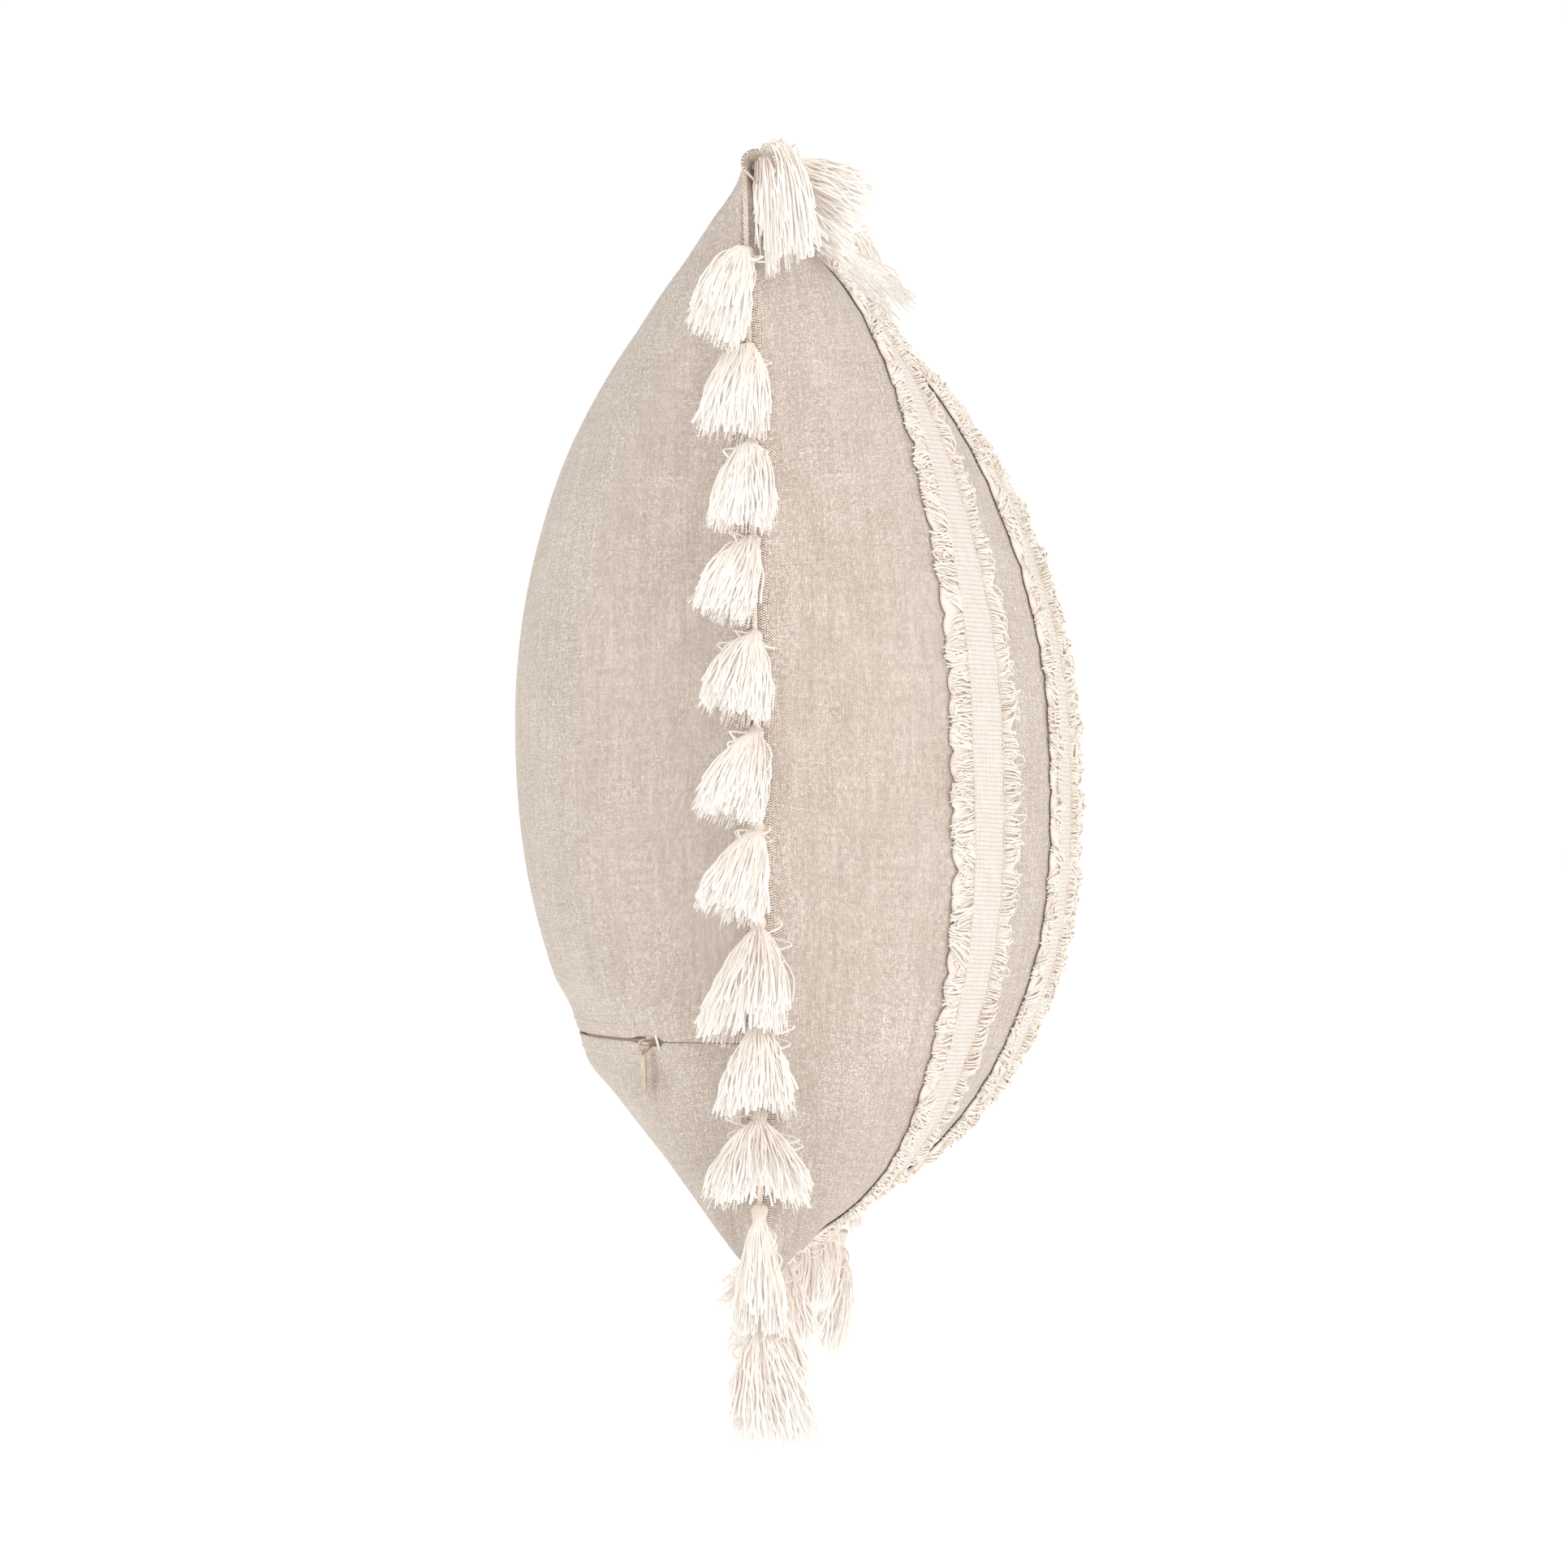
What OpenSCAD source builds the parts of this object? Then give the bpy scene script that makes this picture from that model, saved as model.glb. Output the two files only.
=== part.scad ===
// Square throw pillow: a two-panel linen cover with four fringed bands on the front, a zip across
// the back, tassel trim in the seam on all four sides, and a filled insert inside.
// Axes: +X to the right of somebody facing the back, +Y out of the back, +Z up.
// Origin: the fullest point of the back, where the pillow leans on whatever holds it up.

/* [Cover] */
// Side of the square cover before it is stuffed, seam to seam
cover_side = 508; // [400:4:600]
// Thickness of the stuffed pillow through its middle
cover_depth = 240; // [200:2:260]
// Corner-to-corner side of the stuffed pillow, as a share of cover_side
corner_draw = 0.898; // [0.88:0.002:0.92]
// How far the middle of each side is drawn in, as a share of half the side
edge_pull_in = 0.09; // [0.06:0.005:0.12]
// How far the filling has settled towards the bottom
filling_sag = 10; // [0:1:14]
// How much of its fullness the front loses towards the top
front_slump = 0.5; // [0:0.05:0.6]
// Thickness of the cover fabric
fabric_thickness = 1.2; // [0.8:0.1:1.6]

/* [Fringed bands] */
// Width of the woven tape in each band
band_tape_width = 25; // [20:1:28]
// Width of the frayed fringe on each side of the tape
band_fringe_width = 15; // [8:1:16]
// Distance between the middles of neighbouring bands
band_pitch = 90; // [86:1:94]
// How far the tape stands off the panel
band_tape_height = 1.6; // [1:0.1:2.5]
// How far the fringe stands off the panel
band_fringe_height = 4.5; // [2:0.5:6]

/* [Zip] */
// Height of the zip, as a share of half the side below the middle
zip_drop = 0.55; // [0.46:0.01:0.58]
// How far the zip reaches towards each side seam, as a share of half the side
zip_reach = 0.85; // [0.7:0.01:0.87]
// Length of the zip slider
slider_length = 10.5; // [9:0.5:12]
// Length of the pull tab
pull_length = 18.5; // [14:0.5:20]
// Width of the pull tab
pull_width = 3.6; // [3.2:0.1:4.2]

/* [Tassels] */
// Length of a tassel hanging from the bottom seam
tassel_length = 43; // [36:1:46]
// Length of a tassel hanging from a bottom corner
corner_tassel_length = 58; // [44:1:60]
// Radius of a hanging tassel's skirt at its cut end
tassel_skirt_radius = 13; // [9:0.5:14]
// Radius of the tied head of a tassel
tassel_head_radius = 4; // [3:0.5:4.5]
// Width of the trim's heading tape inside the seam
heading_width = 7; // [5:0.5:8]

/* [Hidden] */

linen = [0.83, 0.78, 0.73];
cotton = [0.93, 0.9, 0.86];
half_side = cover_side * corner_draw / 2;
// Half the gap between the front and back panels at the seam, which the trim's heading fills
seam_gap = 0.6;
depth_half = cover_depth / 2 - seam_gap;
// Shape of the bulge: 1 would be a paraboloid, 0 a box
fullness_power = 0.63;
// How much more of the fabric lies over the crown than near the seams
crown_spread = 0.23;
back = 1;
front = -1;
panel_steps = 28;
round_facets = 24;
arc_facets = 240;

// ---- The stuffed shape ----
// u runs from -1 at the left seam to 1 at the right one, v from -1 at the bottom to 1 at the top.
function drawn_in(t) = 1 - edge_pull_in * (1 - t * t);
function fullness(u, v) = pow(max(0, (1 - u * u) * (1 - v * v)), fullness_power);
function slumped(u, v, side) = side < 0 ? 1 - front_slump * pow(max(0, v), 3) * (1 - u * u) : 1;
function pillow_point(u, v, inset, gap, side) = [
    (half_side - inset) * u * drawn_in(v),
    side * (gap + (depth_half - inset) * fullness(u, v) * slumped(u, v, side)),
    (half_side - inset) * v * drawn_in(u) - filling_sag * (1 - v * v) * sqrt(max(0, 1 - u * u))
];
// v where the surface column u crosses the height z
function v_at_height(u, z) =
    let (sag = filling_sag * sqrt(max(0, 1 - u * u)), rise = half_side * drawn_in(u))
    2 * (sag + z) / (rise + sqrt(rise * rise + 4 * sag * (sag + z)));
// u of the fabric line that lies x from the middle of the flat cover, at the height v
function fabric_u(x, v) =
    let (t = 2 * abs(x) / cover_side)
    sign(x) * t * (1 + crown_spread * (1 - pow(t, 3)) * pow(1 - v * v, fullness_power));
// Steps from -1 to 1, closer together towards both ends
function spread_steps(count) = [for (i = [0 : count]) sin(-90 + 180 * i / count)];

// Puts a shape made about the pillow's middle into the part's frame
module in_frame() {
    translate([0, -(seam_gap + depth_half), filling_sag]) children();
}

// A closed sheet between two grids of points with as many rows and columns; the first lies towards +Y
module sheet(upper, lower) {
    columns = len(upper);
    rows = len(upper[0]);
    lower_start = columns * rows;
    function at(i, j) = i * rows + j;
    function under(i, j) = lower_start + at(i, j);
    function wall(a, b, c, d) = [[a, b, c], [a, c, d]];
    // Each cell is cut along the diagonal that points to the nearest corner of the sheet
    function cell(i, j) = (2 * i < columns - 1) == (2 * j < rows - 1)
        ? wall(at(i, j), at(i + 1, j), at(i + 1, j + 1), at(i, j + 1))
        : wall(at(i + 1, j), at(i + 1, j + 1), at(i, j + 1), at(i, j));
    skin = [for (i = [0 : columns - 2], j = [0 : rows - 2], face = cell(i, j)) face];
    lining = [for (face = skin) [face[0] + lower_start, face[2] + lower_start, face[1] + lower_start]];
    side_walls = [for (j = [0 : rows - 2], face = concat(
        wall(at(0, j), at(0, j + 1), under(0, j + 1), under(0, j)),
        wall(at(columns - 1, j + 1), at(columns - 1, j), under(columns - 1, j), under(columns - 1, j + 1)))) face];
    end_walls = [for (i = [0 : columns - 2], face = concat(
        wall(at(i + 1, 0), at(i, 0), under(i, 0), under(i + 1, 0)),
        wall(at(i, rows - 1), at(i + 1, rows - 1), under(i + 1, rows - 1), under(i, rows - 1)))) face];
    points = [for (grid = [upper, lower], column = grid, point = column) point];
    polyhedron(points, concat(skin, lining, side_walls, end_walls), convexity = 6);
}

// ---- Cover panels ----
module half_shell(inset, thickness, gap, steps, side) {
    levels = spread_steps(steps);
    function grid(depth) = [for (u = levels) [for (v = levels) pillow_point(u, v, depth, gap, side)]];
    if (side == back) sheet(grid(inset), grid(inset + thickness));
    if (side == front) sheet(grid(inset + thickness), grid(inset));
}

module front_panel() { color(linen) in_frame() half_shell(0, fabric_thickness, seam_gap, panel_steps, front); }

// ---- The zip's path: a level arc across the back ----
zip_height = -zip_drop * half_side;
zip_middle_v = v_at_height(0, zip_height);
zip_end_v = v_at_height(zip_reach, zip_height);
zip_middle_y = pillow_point(0, zip_middle_v, 0, seam_gap, back)[1];
zip_end = pillow_point(zip_reach, zip_end_v, 0, seam_gap, back);
zip_bow = zip_middle_y - zip_end[1];
zip_radius = (zip_end[0] * zip_end[0] + zip_bow * zip_bow) / (2 * zip_bow);
zip_centre_y = zip_middle_y - zip_radius;
zip_half_angle = asin(zip_end[0] / zip_radius);
degrees_per_mm = 180 / (PI * zip_radius);

// Half the height of the slot between the two facings
slot_half = 2.7;
facing_width = 6;
facing_clear = 0.6;
facing_outer = 0.8;
facing_inner = 0;
// The zip leans with the cover there, its face turned down by this angle
zip_tilt = 16;
// The panels stop this far above and below the zip, and meet beyond its ends
panel_opening = slot_half + facing_width + facing_clear;
seam_half = 0.1;
notch_width = 0.006;
opening_end_u = zip_reach + 0.015;

function opening_columns() = let (
    inner = [for (i = [0 : 20]) opening_end_u * sin(-90 + 9 * i)],
    outer = [for (i = [0 : 4]) opening_end_u + notch_width + (1 - opening_end_u - notch_width) * i / 4])
    concat([for (i = [4 : -1 : 0]) -outer[i]], inner, outer);

// One part of the back panel; the direction is 1 above the zip and -1 below it
module back_part(direction, rows) {
    function edge_z(u) = zip_height + direction * (abs(u) <= opening_end_u ? panel_opening : seam_half);
    function row_v(u, j) = let (edge = v_at_height(u, edge_z(u))) edge + (direction - edge) * sin(90 * j / rows);
    order = direction > 0 ? [0 : rows] : [rows : -1 : 0];
    function grid(depth) =
        [for (u = opening_columns()) [for (j = order) pillow_point(u, row_v(u, j), depth, seam_gap, back)]];
    color(linen) in_frame() sheet(grid(0), grid(fabric_thickness));
}
module back_panel_upper() { back_part(1, 22); }
module back_panel_lower() { back_part(-1, 12); }

// ---- Zip ----
// A bar that follows the zip's arc, between two offsets from the cover and two heights
module arc_bar(offset_low, offset_high, z_low, z_high, half_angle) {
    translate([0, zip_centre_y, zip_height])
        rotate([0, 0, 90 - half_angle])
            rotate_extrude(angle = 2 * half_angle, $fn = arc_facets)
                translate([zip_radius, 0]) rotate(-zip_tilt) translate([offset_low, z_low])
                    square([offset_high - offset_low, z_high - z_low]);
}

// Puts a shape on the arc at an angle from the middle: its +X along the zip, +Y level and outwards
module on_arc(angle) {
    translate([0, zip_centre_y, zip_height]) rotate([0, 0, angle]) translate([0, zip_radius, 0]) children();
}
// The same, leaning with the cover
module on_leaning_arc(angle) { on_arc(angle) rotate([-zip_tilt, 0, 0]) children(); }

tape_offset = -4.8;
tape_thickness = 0.6;
tape_inner_z = 1.2;
tape_outer_z = 13;
coil_offset = -4.15;
coil_thickness = 2.2;
coil_inner_z = 0.6;
coil_outer_z = 2.3;
stop_length = 2;
// Room left at each end of the zip for a stop
stop_room = 4;
coil_half_angle = zip_half_angle - stop_room * degrees_per_mm;

module zip_facing_upper() {
    color(linen) in_frame()
        arc_bar(facing_inner, facing_outer, slot_half, slot_half + facing_width, zip_half_angle);
}
module zip_facing_lower() {
    color(linen) in_frame()
        arc_bar(facing_inner, facing_outer, -slot_half - facing_width, -slot_half, zip_half_angle);
}
module zip_tape_upper() {
    color(cotton) in_frame()
        arc_bar(tape_offset, tape_offset + tape_thickness, tape_inner_z, tape_outer_z, zip_half_angle);
}
module zip_tape_lower() {
    color(cotton) in_frame()
        arc_bar(tape_offset, tape_offset + tape_thickness, -tape_outer_z, -tape_inner_z, zip_half_angle);
}
module zip_coil_upper() {
    color(linen) in_frame()
        arc_bar(coil_offset, coil_offset + coil_thickness, coil_inner_z, coil_outer_z, coil_half_angle);
}
module zip_coil_lower() {
    color(linen) in_frame()
        arc_bar(coil_offset, coil_offset + coil_thickness, -coil_outer_z, -coil_inner_z, coil_half_angle);
}

// A stop bridges the two tapes at an end of the coils; the direction is 1 at the left end
module zip_stop(direction) {
    stop_angle = direction * (zip_half_angle - stop_length * degrees_per_mm);
    color("silver") in_frame() on_leaning_arc(stop_angle)
        translate([-stop_length / 2, coil_offset + 0.05, -coil_outer_z])
            cube([stop_length, coil_thickness, 2 * coil_outer_z]);
}
module zip_top_stop() { zip_stop(1); }
module zip_bottom_stop() { zip_stop(-1); }

// Thread bars sewn across the slot over each end of the zip
module zip_bar_tacks() {
    bar_height = 2 * (slot_half + 1.6);
    color(cotton) in_frame() for (direction = [-1, 1])
        on_leaning_arc(direction * (zip_half_angle - 0.9 * degrees_per_mm))
            translate([-0.7, facing_outer + 0.05, -bar_height / 2]) cube([1.4, 0.7, bar_height]);
}

// ---- Slider, ring and tab, at the closed end of the zip ----
slider_width = 6.8;
plate_thickness = 0.9;
top_plate_offset = -1.45;
bottom_plate_offset = -6.1;
post_width = 0.7;
post_length = 3;
flange_width = 0.8;
flange_drop = 2.3;
crown_radius = 0.6;
crown_offset = 2.5;
crown_span = 5.4;
slider_angle = zip_half_angle - (stop_room + slider_length / 2 + 0.4) * degrees_per_mm;
ring_radius = 2.4;
ring_wire_radius = 0.45;
ring_clear = 0.15;
// The ring hangs on the crown, held off the facing at this angle below level
ring_tilt = 55;
ring_arm = ring_radius - ring_wire_radius - crown_radius - ring_clear;
ring_y = ring_arm * cos(ring_tilt);
ring_z = -ring_arm * sin(ring_tilt);
eye_radius = 1;
tab_thickness = 0.8;
tab_eye_z = ring_z - ring_radius - (eye_radius - ring_wire_radius - ring_clear);

module on_slider() { in_frame() on_leaning_arc(slider_angle) children(); }
// The middle of the crown's bar, with +Z upright
module on_crown() {
    in_frame() on_arc(slider_angle)
        translate([0, crown_offset * cos(zip_tilt), -crown_offset * sin(zip_tilt)]) children();
}

module slider_block(length, width, offset, thickness) {
    translate([-length / 2, offset, -width / 2]) cube([length, thickness, width]);
}

module zip_slider() {
    post_height = top_plate_offset - bottom_plate_offset;
    crown_leg = crown_offset - top_plate_offset;
    color("tan") on_slider() union() {
        slider_block(slider_length, slider_width, top_plate_offset, plate_thickness);
        slider_block(slider_length, slider_width, bottom_plate_offset, plate_thickness);
        slider_block(post_length, post_width, bottom_plate_offset, post_height + 0.2);
        for (side = [-1, 1])
            translate([0, 0, side * (slider_width - flange_width) / 2])
                slider_block(slider_length, flange_width, top_plate_offset - flange_drop, flange_drop + 0.2);
        for (side = [-1, 1])
            translate([side * crown_span / 2, top_plate_offset + 0.2, 0])
                rotate([-90, 0, 0]) cylinder(r = crown_radius, h = crown_leg - 0.2, $fn = round_facets);
        translate([-crown_span / 2, crown_offset, 0])
            rotate([0, 90, 0]) cylinder(r = crown_radius, h = crown_span, $fn = round_facets);
        for (side = [-1, 1])
            translate([side * crown_span / 2, crown_offset, 0]) sphere(r = crown_radius, $fn = round_facets);
    }
}

module zip_pull_ring() {
    color("tan") on_crown()
        translate([0, ring_y, ring_z]) rotate([0, 90, 0])
            rotate_extrude($fn = round_facets * 2)
                translate([ring_radius, 0]) circle(r = ring_wire_radius, $fn = round_facets);
}

module zip_pull_tab() {
    tip_radius = pull_width / 2 + 0.2;
    head_radius = pull_width / 2;
    tip_z = -(pull_length - head_radius - tip_radius);
    color("tan") on_crown()
        translate([0, ring_y + tab_thickness / 2, tab_eye_z]) rotate([90, 0, 0])
            difference() {
                union() {
                    cylinder(r = head_radius, h = tab_thickness, $fn = round_facets * 2);
                    translate([0, tip_z, 0]) cylinder(r = tip_radius, h = tab_thickness, $fn = round_facets * 2);
                    linear_extrude(tab_thickness)
                        polygon([[-head_radius, 0], [-tip_radius, tip_z], [tip_radius, tip_z], [head_radius, 0]]);
                }
                translate([0, 0, -1]) cylinder(r = eye_radius, h = tab_thickness + 2, $fn = round_facets);
            }
}

// ---- Insert: a filled casing inside the cover ----
insert_inset = 11;
casing_thickness = 0.8;
insert_gap = 0.1;
insert_steps = 18;
module insert_back() {
    color("white") in_frame() half_shell(insert_inset, casing_thickness, insert_gap, insert_steps, back);
}
module insert_front() {
    color("white") in_frame() half_shell(insert_inset, casing_thickness, insert_gap, insert_steps, front);
}
module insert_filling() {
    inset = insert_inset + casing_thickness + 1.5;
    levels = spread_steps(insert_steps);
    function grid(side) = [for (u = levels) [for (v = levels) pillow_point(u, v, inset, insert_gap, side)]];
    color("white") in_frame() sheet(grid(back), grid(front));
}

// ---- Fringed bands on the front panel ----
band_width = band_tape_width + 2 * band_fringe_width;
band_count = 4;
band_end_v = 0.985;
band_rows = 30;
band_lift = 0.4;
strip_clear = 0.4;

// A strip on the front panel between two fabric lines, standing off it by height
module band_strip(x_low, x_high, height, strip_columns) {
    rows = [for (v = spread_steps(band_rows)) v * band_end_v];
    function grid(lift) = [for (i = [0 : strip_columns]) [for (v = rows)
        pillow_point(fabric_u(x_low + (x_high - x_low) * i / strip_columns, v), v, -lift, seam_gap, front)]];
    color(cotton) in_frame() sheet(grid(band_lift), grid(band_lift + height));
}
// Middle of a band, counted from the left
function band_x(number) = (number - (band_count + 1) / 2) * band_pitch;
module band_tape(number) {
    half = band_tape_width / 2 - strip_clear / 2;
    band_strip(band_x(number) - half, band_x(number) + half, band_tape_height, 4);
}
// The frayed yarn on both sides of a band's tape
module band_fringe(number) {
    near = band_tape_width / 2 + strip_clear / 2;
    far = band_width / 2;
    band_strip(band_x(number) - far, band_x(number) - near, band_fringe_height, 3);
    band_strip(band_x(number) + near, band_x(number) + far, band_fringe_height, 3);
}

// ---- Tassel trim ----
heading_reach = 1.5;
heading_thickness = 1;
heading_steps = 24;
heading_end = 0.995;
// A point of the bottom seam, moved outwards by reach
function seam_point(t, reach) = [(half_side + reach) * t, -(half_side + reach) * drawn_in(t)];

// Heading tape of the bottom seam, turned about the middle to each side
module heading(turn) {
    steps = [for (i = [0 : heading_steps]) heading_end * (2 * i / heading_steps - 1)];
    outer = [for (t = steps) seam_point(t, heading_reach)];
    inner = [for (i = [heading_steps : -1 : 0]) seam_point(steps[i], -heading_width)];
    color(cotton) in_frame() rotate([90, turn, 0])
        translate([0, 0, -heading_thickness / 2])
            linear_extrude(heading_thickness) polygon(concat(outer, inner));
}
module trim_heading_bottom() { heading(0); }
module trim_heading_left() { heading(90); }
module trim_heading_top() { heading(180); }
module trim_heading_right() { heading(-90); }

// A tassel hanging down from its attachment: loop, tied head and flared skirt
module tassel(length, skirt_radius) {
    loop_radius = 1.4;
    loop_end = 2.5;
    head = tassel_head_radius;
    waist = 0.7 * head;
    head_end = loop_end + 1.8 * head;
    rotate_extrude($fn = round_facets) polygon([
        [0, 0], [0.6 * loop_radius, -0.3], [loop_radius, -1], [loop_radius, -loop_end],
        [head, -loop_end - 0.5 * head], [head, -loop_end - 1.2 * head], [waist, -head_end],
        [0.75 * skirt_radius, -(head_end + length) / 2], [skirt_radius, -length], [0, -length]
    ]);
}

// Places of the tassels: twelve equal steps along each side, with one at each corner
tassel_steps = 12;
loop_clear = 0.6;
// How far the loop of a tassel that doesn't hang from its seam stands off it first
stub_length = 5;
stub_radius = 1;
// The loop and the stub run this far into each other
stub_overlap = 0.5;
function tassel_t(i) = 2 * i / tassel_steps - 1;

module bottom_tassel(i) {
    place = seam_point(tassel_t(i), heading_reach + loop_clear);
    color(cotton) in_frame() translate([place[0], 0, place[1]]) tassel(tassel_length, tassel_skirt_radius);
}

// Sideways lean of each side tassel, from the top down: towards the back where positive
side_leans = [24, 8, 2, 20, 20, 14, 16, -6, -4, 0, 0];
side_tassel_length = 36;
side_skirt_radius = 8.5;
side_flare = 8;
// Angle of the seam to the vertical at a place t along it
function seam_slope(t) = atan(2 * edge_pull_in * t);

// Tassel i of a side seam, counted from the top; the direction is -1 at the left and 1 at the right
module side_tassel(i, direction) {
    t = -tassel_t(i);
    place = seam_point(t, heading_reach + loop_clear);
    outward = side_flare - seam_slope(t);
    color(cotton) in_frame() translate([-direction * place[1], 0, place[0]]) union() {
        rotate([0, direction * 90, 0]) cylinder(r = stub_radius, h = stub_length, $fn = round_facets);
        translate([direction * (stub_length - stub_overlap), 0, stub_overlap])
            rotate([side_leans[i - 1], 0, 0]) rotate([0, -direction * outward, 0])
                tassel(side_tassel_length, side_skirt_radius);
    }
}
module left_tassel(i) { side_tassel(i, -1); }
module right_tassels() { for (i = [1 : tassel_steps - 1]) side_tassel(i, 1); }

// Tassels of the top seam lie forwards over the front panel, steeper towards the corners
top_skirt_radius = 7.5;
module top_tassels() {
    for (i = [1 : tassel_steps - 1]) {
        t = tassel_t(i);
        place = seam_point(t, heading_reach + loop_clear);
        droop = 10 + 20 * t * t;
        color(cotton) in_frame() translate([place[0], 0, -place[1]]) union() {
            cylinder(r = stub_radius, h = stub_length, $fn = round_facets);
            translate([0, stub_overlap, stub_length - stub_overlap])
                rotate([droop - 90, 0, 0]) tassel(tassel_length, top_skirt_radius);
        }
    }
}

corner = half_side + heading_reach + loop_clear;
// A bottom corner's tassel hangs straight down; the side is -1 at the left and 1 at the right
module corner_tassel_bottom(side) {
    color(cotton) in_frame() translate([side * corner, 0, -corner])
        tassel(corner_tassel_length, tassel_skirt_radius);
}
module corner_tassel_bottom_left() { corner_tassel_bottom(-1); }
module corner_tassel_bottom_right() { corner_tassel_bottom(1); }

// A top corner's tassel stands out of the corner first, then falls outwards and forwards
top_corner_length = 48;
top_corner_outward = 22;
top_corner_lean = -24;
module corner_tassel_top(side) {
    stub_step = stub_length * sin(45);
    color(cotton) in_frame() translate([side * corner, 0, corner]) union() {
        rotate([0, side * 45, 0]) cylinder(r = stub_radius, h = stub_length, $fn = round_facets);
        translate([side * (stub_step - stub_overlap), 0, stub_step])
            rotate([top_corner_lean, 0, 0]) rotate([0, -side * top_corner_outward, 0])
                tassel(top_corner_length, tassel_skirt_radius - 2);
    }
}
module corner_tassel_top_left() { corner_tassel_top(-1); }
module corner_tassel_top_right() { corner_tassel_top(1); }

front_panel();
back_panel_upper();
back_panel_lower();
zip_facing_upper();
zip_facing_lower();
zip_tape_upper();
zip_tape_lower();
zip_coil_upper();
zip_coil_lower();
zip_top_stop();
zip_bottom_stop();
zip_bar_tacks();
zip_slider();
zip_pull_ring();
zip_pull_tab();
insert_front();
insert_back();
insert_filling();
band_tape(1);  // band_tape_1
band_tape(2);  // band_tape_2
band_tape(3);  // band_tape_3
band_tape(4);  // band_tape_4
band_fringe(1);  // band_fringe_1
band_fringe(2);  // band_fringe_2
band_fringe(3);  // band_fringe_3
band_fringe(4);  // band_fringe_4
trim_heading_top();
trim_heading_bottom();
trim_heading_left();
trim_heading_right();
corner_tassel_top_left();
corner_tassel_top_right();
corner_tassel_bottom_left();
corner_tassel_bottom_right();
bottom_tassel(1);  // bottom_tassel_1
bottom_tassel(2);  // bottom_tassel_2
bottom_tassel(3);  // bottom_tassel_3
bottom_tassel(4);  // bottom_tassel_4
bottom_tassel(5);  // bottom_tassel_5
bottom_tassel(6);  // bottom_tassel_6
bottom_tassel(7);  // bottom_tassel_7
bottom_tassel(8);  // bottom_tassel_8
bottom_tassel(9);  // bottom_tassel_9
bottom_tassel(10);  // bottom_tassel_10
bottom_tassel(11);  // bottom_tassel_11
left_tassel(1);  // left_tassel_1
left_tassel(2);  // left_tassel_2
left_tassel(3);  // left_tassel_3
left_tassel(4);  // left_tassel_4
left_tassel(5);  // left_tassel_5
left_tassel(6);  // left_tassel_6
left_tassel(7);  // left_tassel_7
left_tassel(8);  // left_tassel_8
left_tassel(9);  // left_tassel_9
left_tassel(10);  // left_tassel_10
left_tassel(11);  // left_tassel_11
right_tassels();
top_tassels();
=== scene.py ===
import math

import bpy
import numpy as np
from mathutils import Matrix, Vector


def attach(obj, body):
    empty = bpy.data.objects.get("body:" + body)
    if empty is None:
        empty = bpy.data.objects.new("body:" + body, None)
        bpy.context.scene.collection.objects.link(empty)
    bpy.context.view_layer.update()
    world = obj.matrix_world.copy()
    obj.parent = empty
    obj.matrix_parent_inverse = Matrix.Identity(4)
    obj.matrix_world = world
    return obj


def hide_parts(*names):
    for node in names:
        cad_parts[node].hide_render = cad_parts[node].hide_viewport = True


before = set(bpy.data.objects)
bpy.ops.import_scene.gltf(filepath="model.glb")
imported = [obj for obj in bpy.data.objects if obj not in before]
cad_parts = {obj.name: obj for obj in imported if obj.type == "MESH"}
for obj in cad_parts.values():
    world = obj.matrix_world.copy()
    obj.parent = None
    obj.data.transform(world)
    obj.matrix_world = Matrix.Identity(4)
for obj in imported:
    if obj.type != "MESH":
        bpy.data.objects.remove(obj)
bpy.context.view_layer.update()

MM = 0.001
FRONT, BACK = -1, 1

# The stuffed shape, in millimetres about the pillow's middle, as the CAD model has it
COVER_SIDE = 508.0
HALF_COVER = COVER_SIDE / 2
CORNER_DRAW = 0.898
HALF_SIDE = COVER_SIDE * CORNER_DRAW / 2
SEAM_GAP = 0.6
DEPTH_HALF = 119.4
PULL_IN = 0.09
POWER = 0.63
CROWN = 0.23
SAG = 10.0
SLUMP = 0.5
MIDDLE = np.array([0.0, -(SEAM_GAP + DEPTH_HALF), SAG])
# How the filling leaves the shape, as shares of the depth: fuller on the upper back and the lower front,
# flatter on the back near the bottom edge
BACK_RISE = 0.03
BACK_TUCK = 0.08
FRONT_DROP = 0.06
FABRIC = 1.1
# The least distance that an inner surface keeps from the seam plane
SEAM_CLEAR = 0.1

# Insert: how far each layer lies inside the cover
CASING_OUTSIDE = 11.0
CASING_INSIDE = 11.8
WADDING_OUTSIDE = 13.5
INSERT_CELLS = 72
LUMP_HEIGHT = 9
LUMP_FADE = 40

# Bands on the front
BANDS = (-135.0, -45.0, 45.0, 135.0)
BAND_END = 250.0
TAPE_HALF = 12.3
TAPE_LIFT = 0.5
TAPE_THICKNESS = 1.5
FRINGE_REACH = 15.0
TUFT_PITCH = 11.5
FRINGE_YARNS = 1350
FRINGE_LOOPS = 70
STITCH_STEP = 3.1

# Zip: an arc about a vertical axis; angles in degrees from its middle, offsets outwards
ZIP_RADIUS = 352.071
ZIP_CENTRE_Y = -378.448
ZIP_Z = -115.451
ZIP_HALF_ANGLE = 31.0627
ZIP_TILT = 16.0
ZIP_SIDES = (("upper", 1), ("lower", -1))
SLIDER_ANGLE = 29.4922
LIP_GAP = 0.65
LIP_GAP_SLIDER = 2.0
LIP_GAP_CLOSED = 0.12
LIP_OFFSET = 0.85
LIP_THICKNESS = 0.65
LIP_ROUNDING = 0.252
COIL_TURNS = 285
COIL_HEIGHT = 1.45
COIL_OFFSET = -3.05

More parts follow.
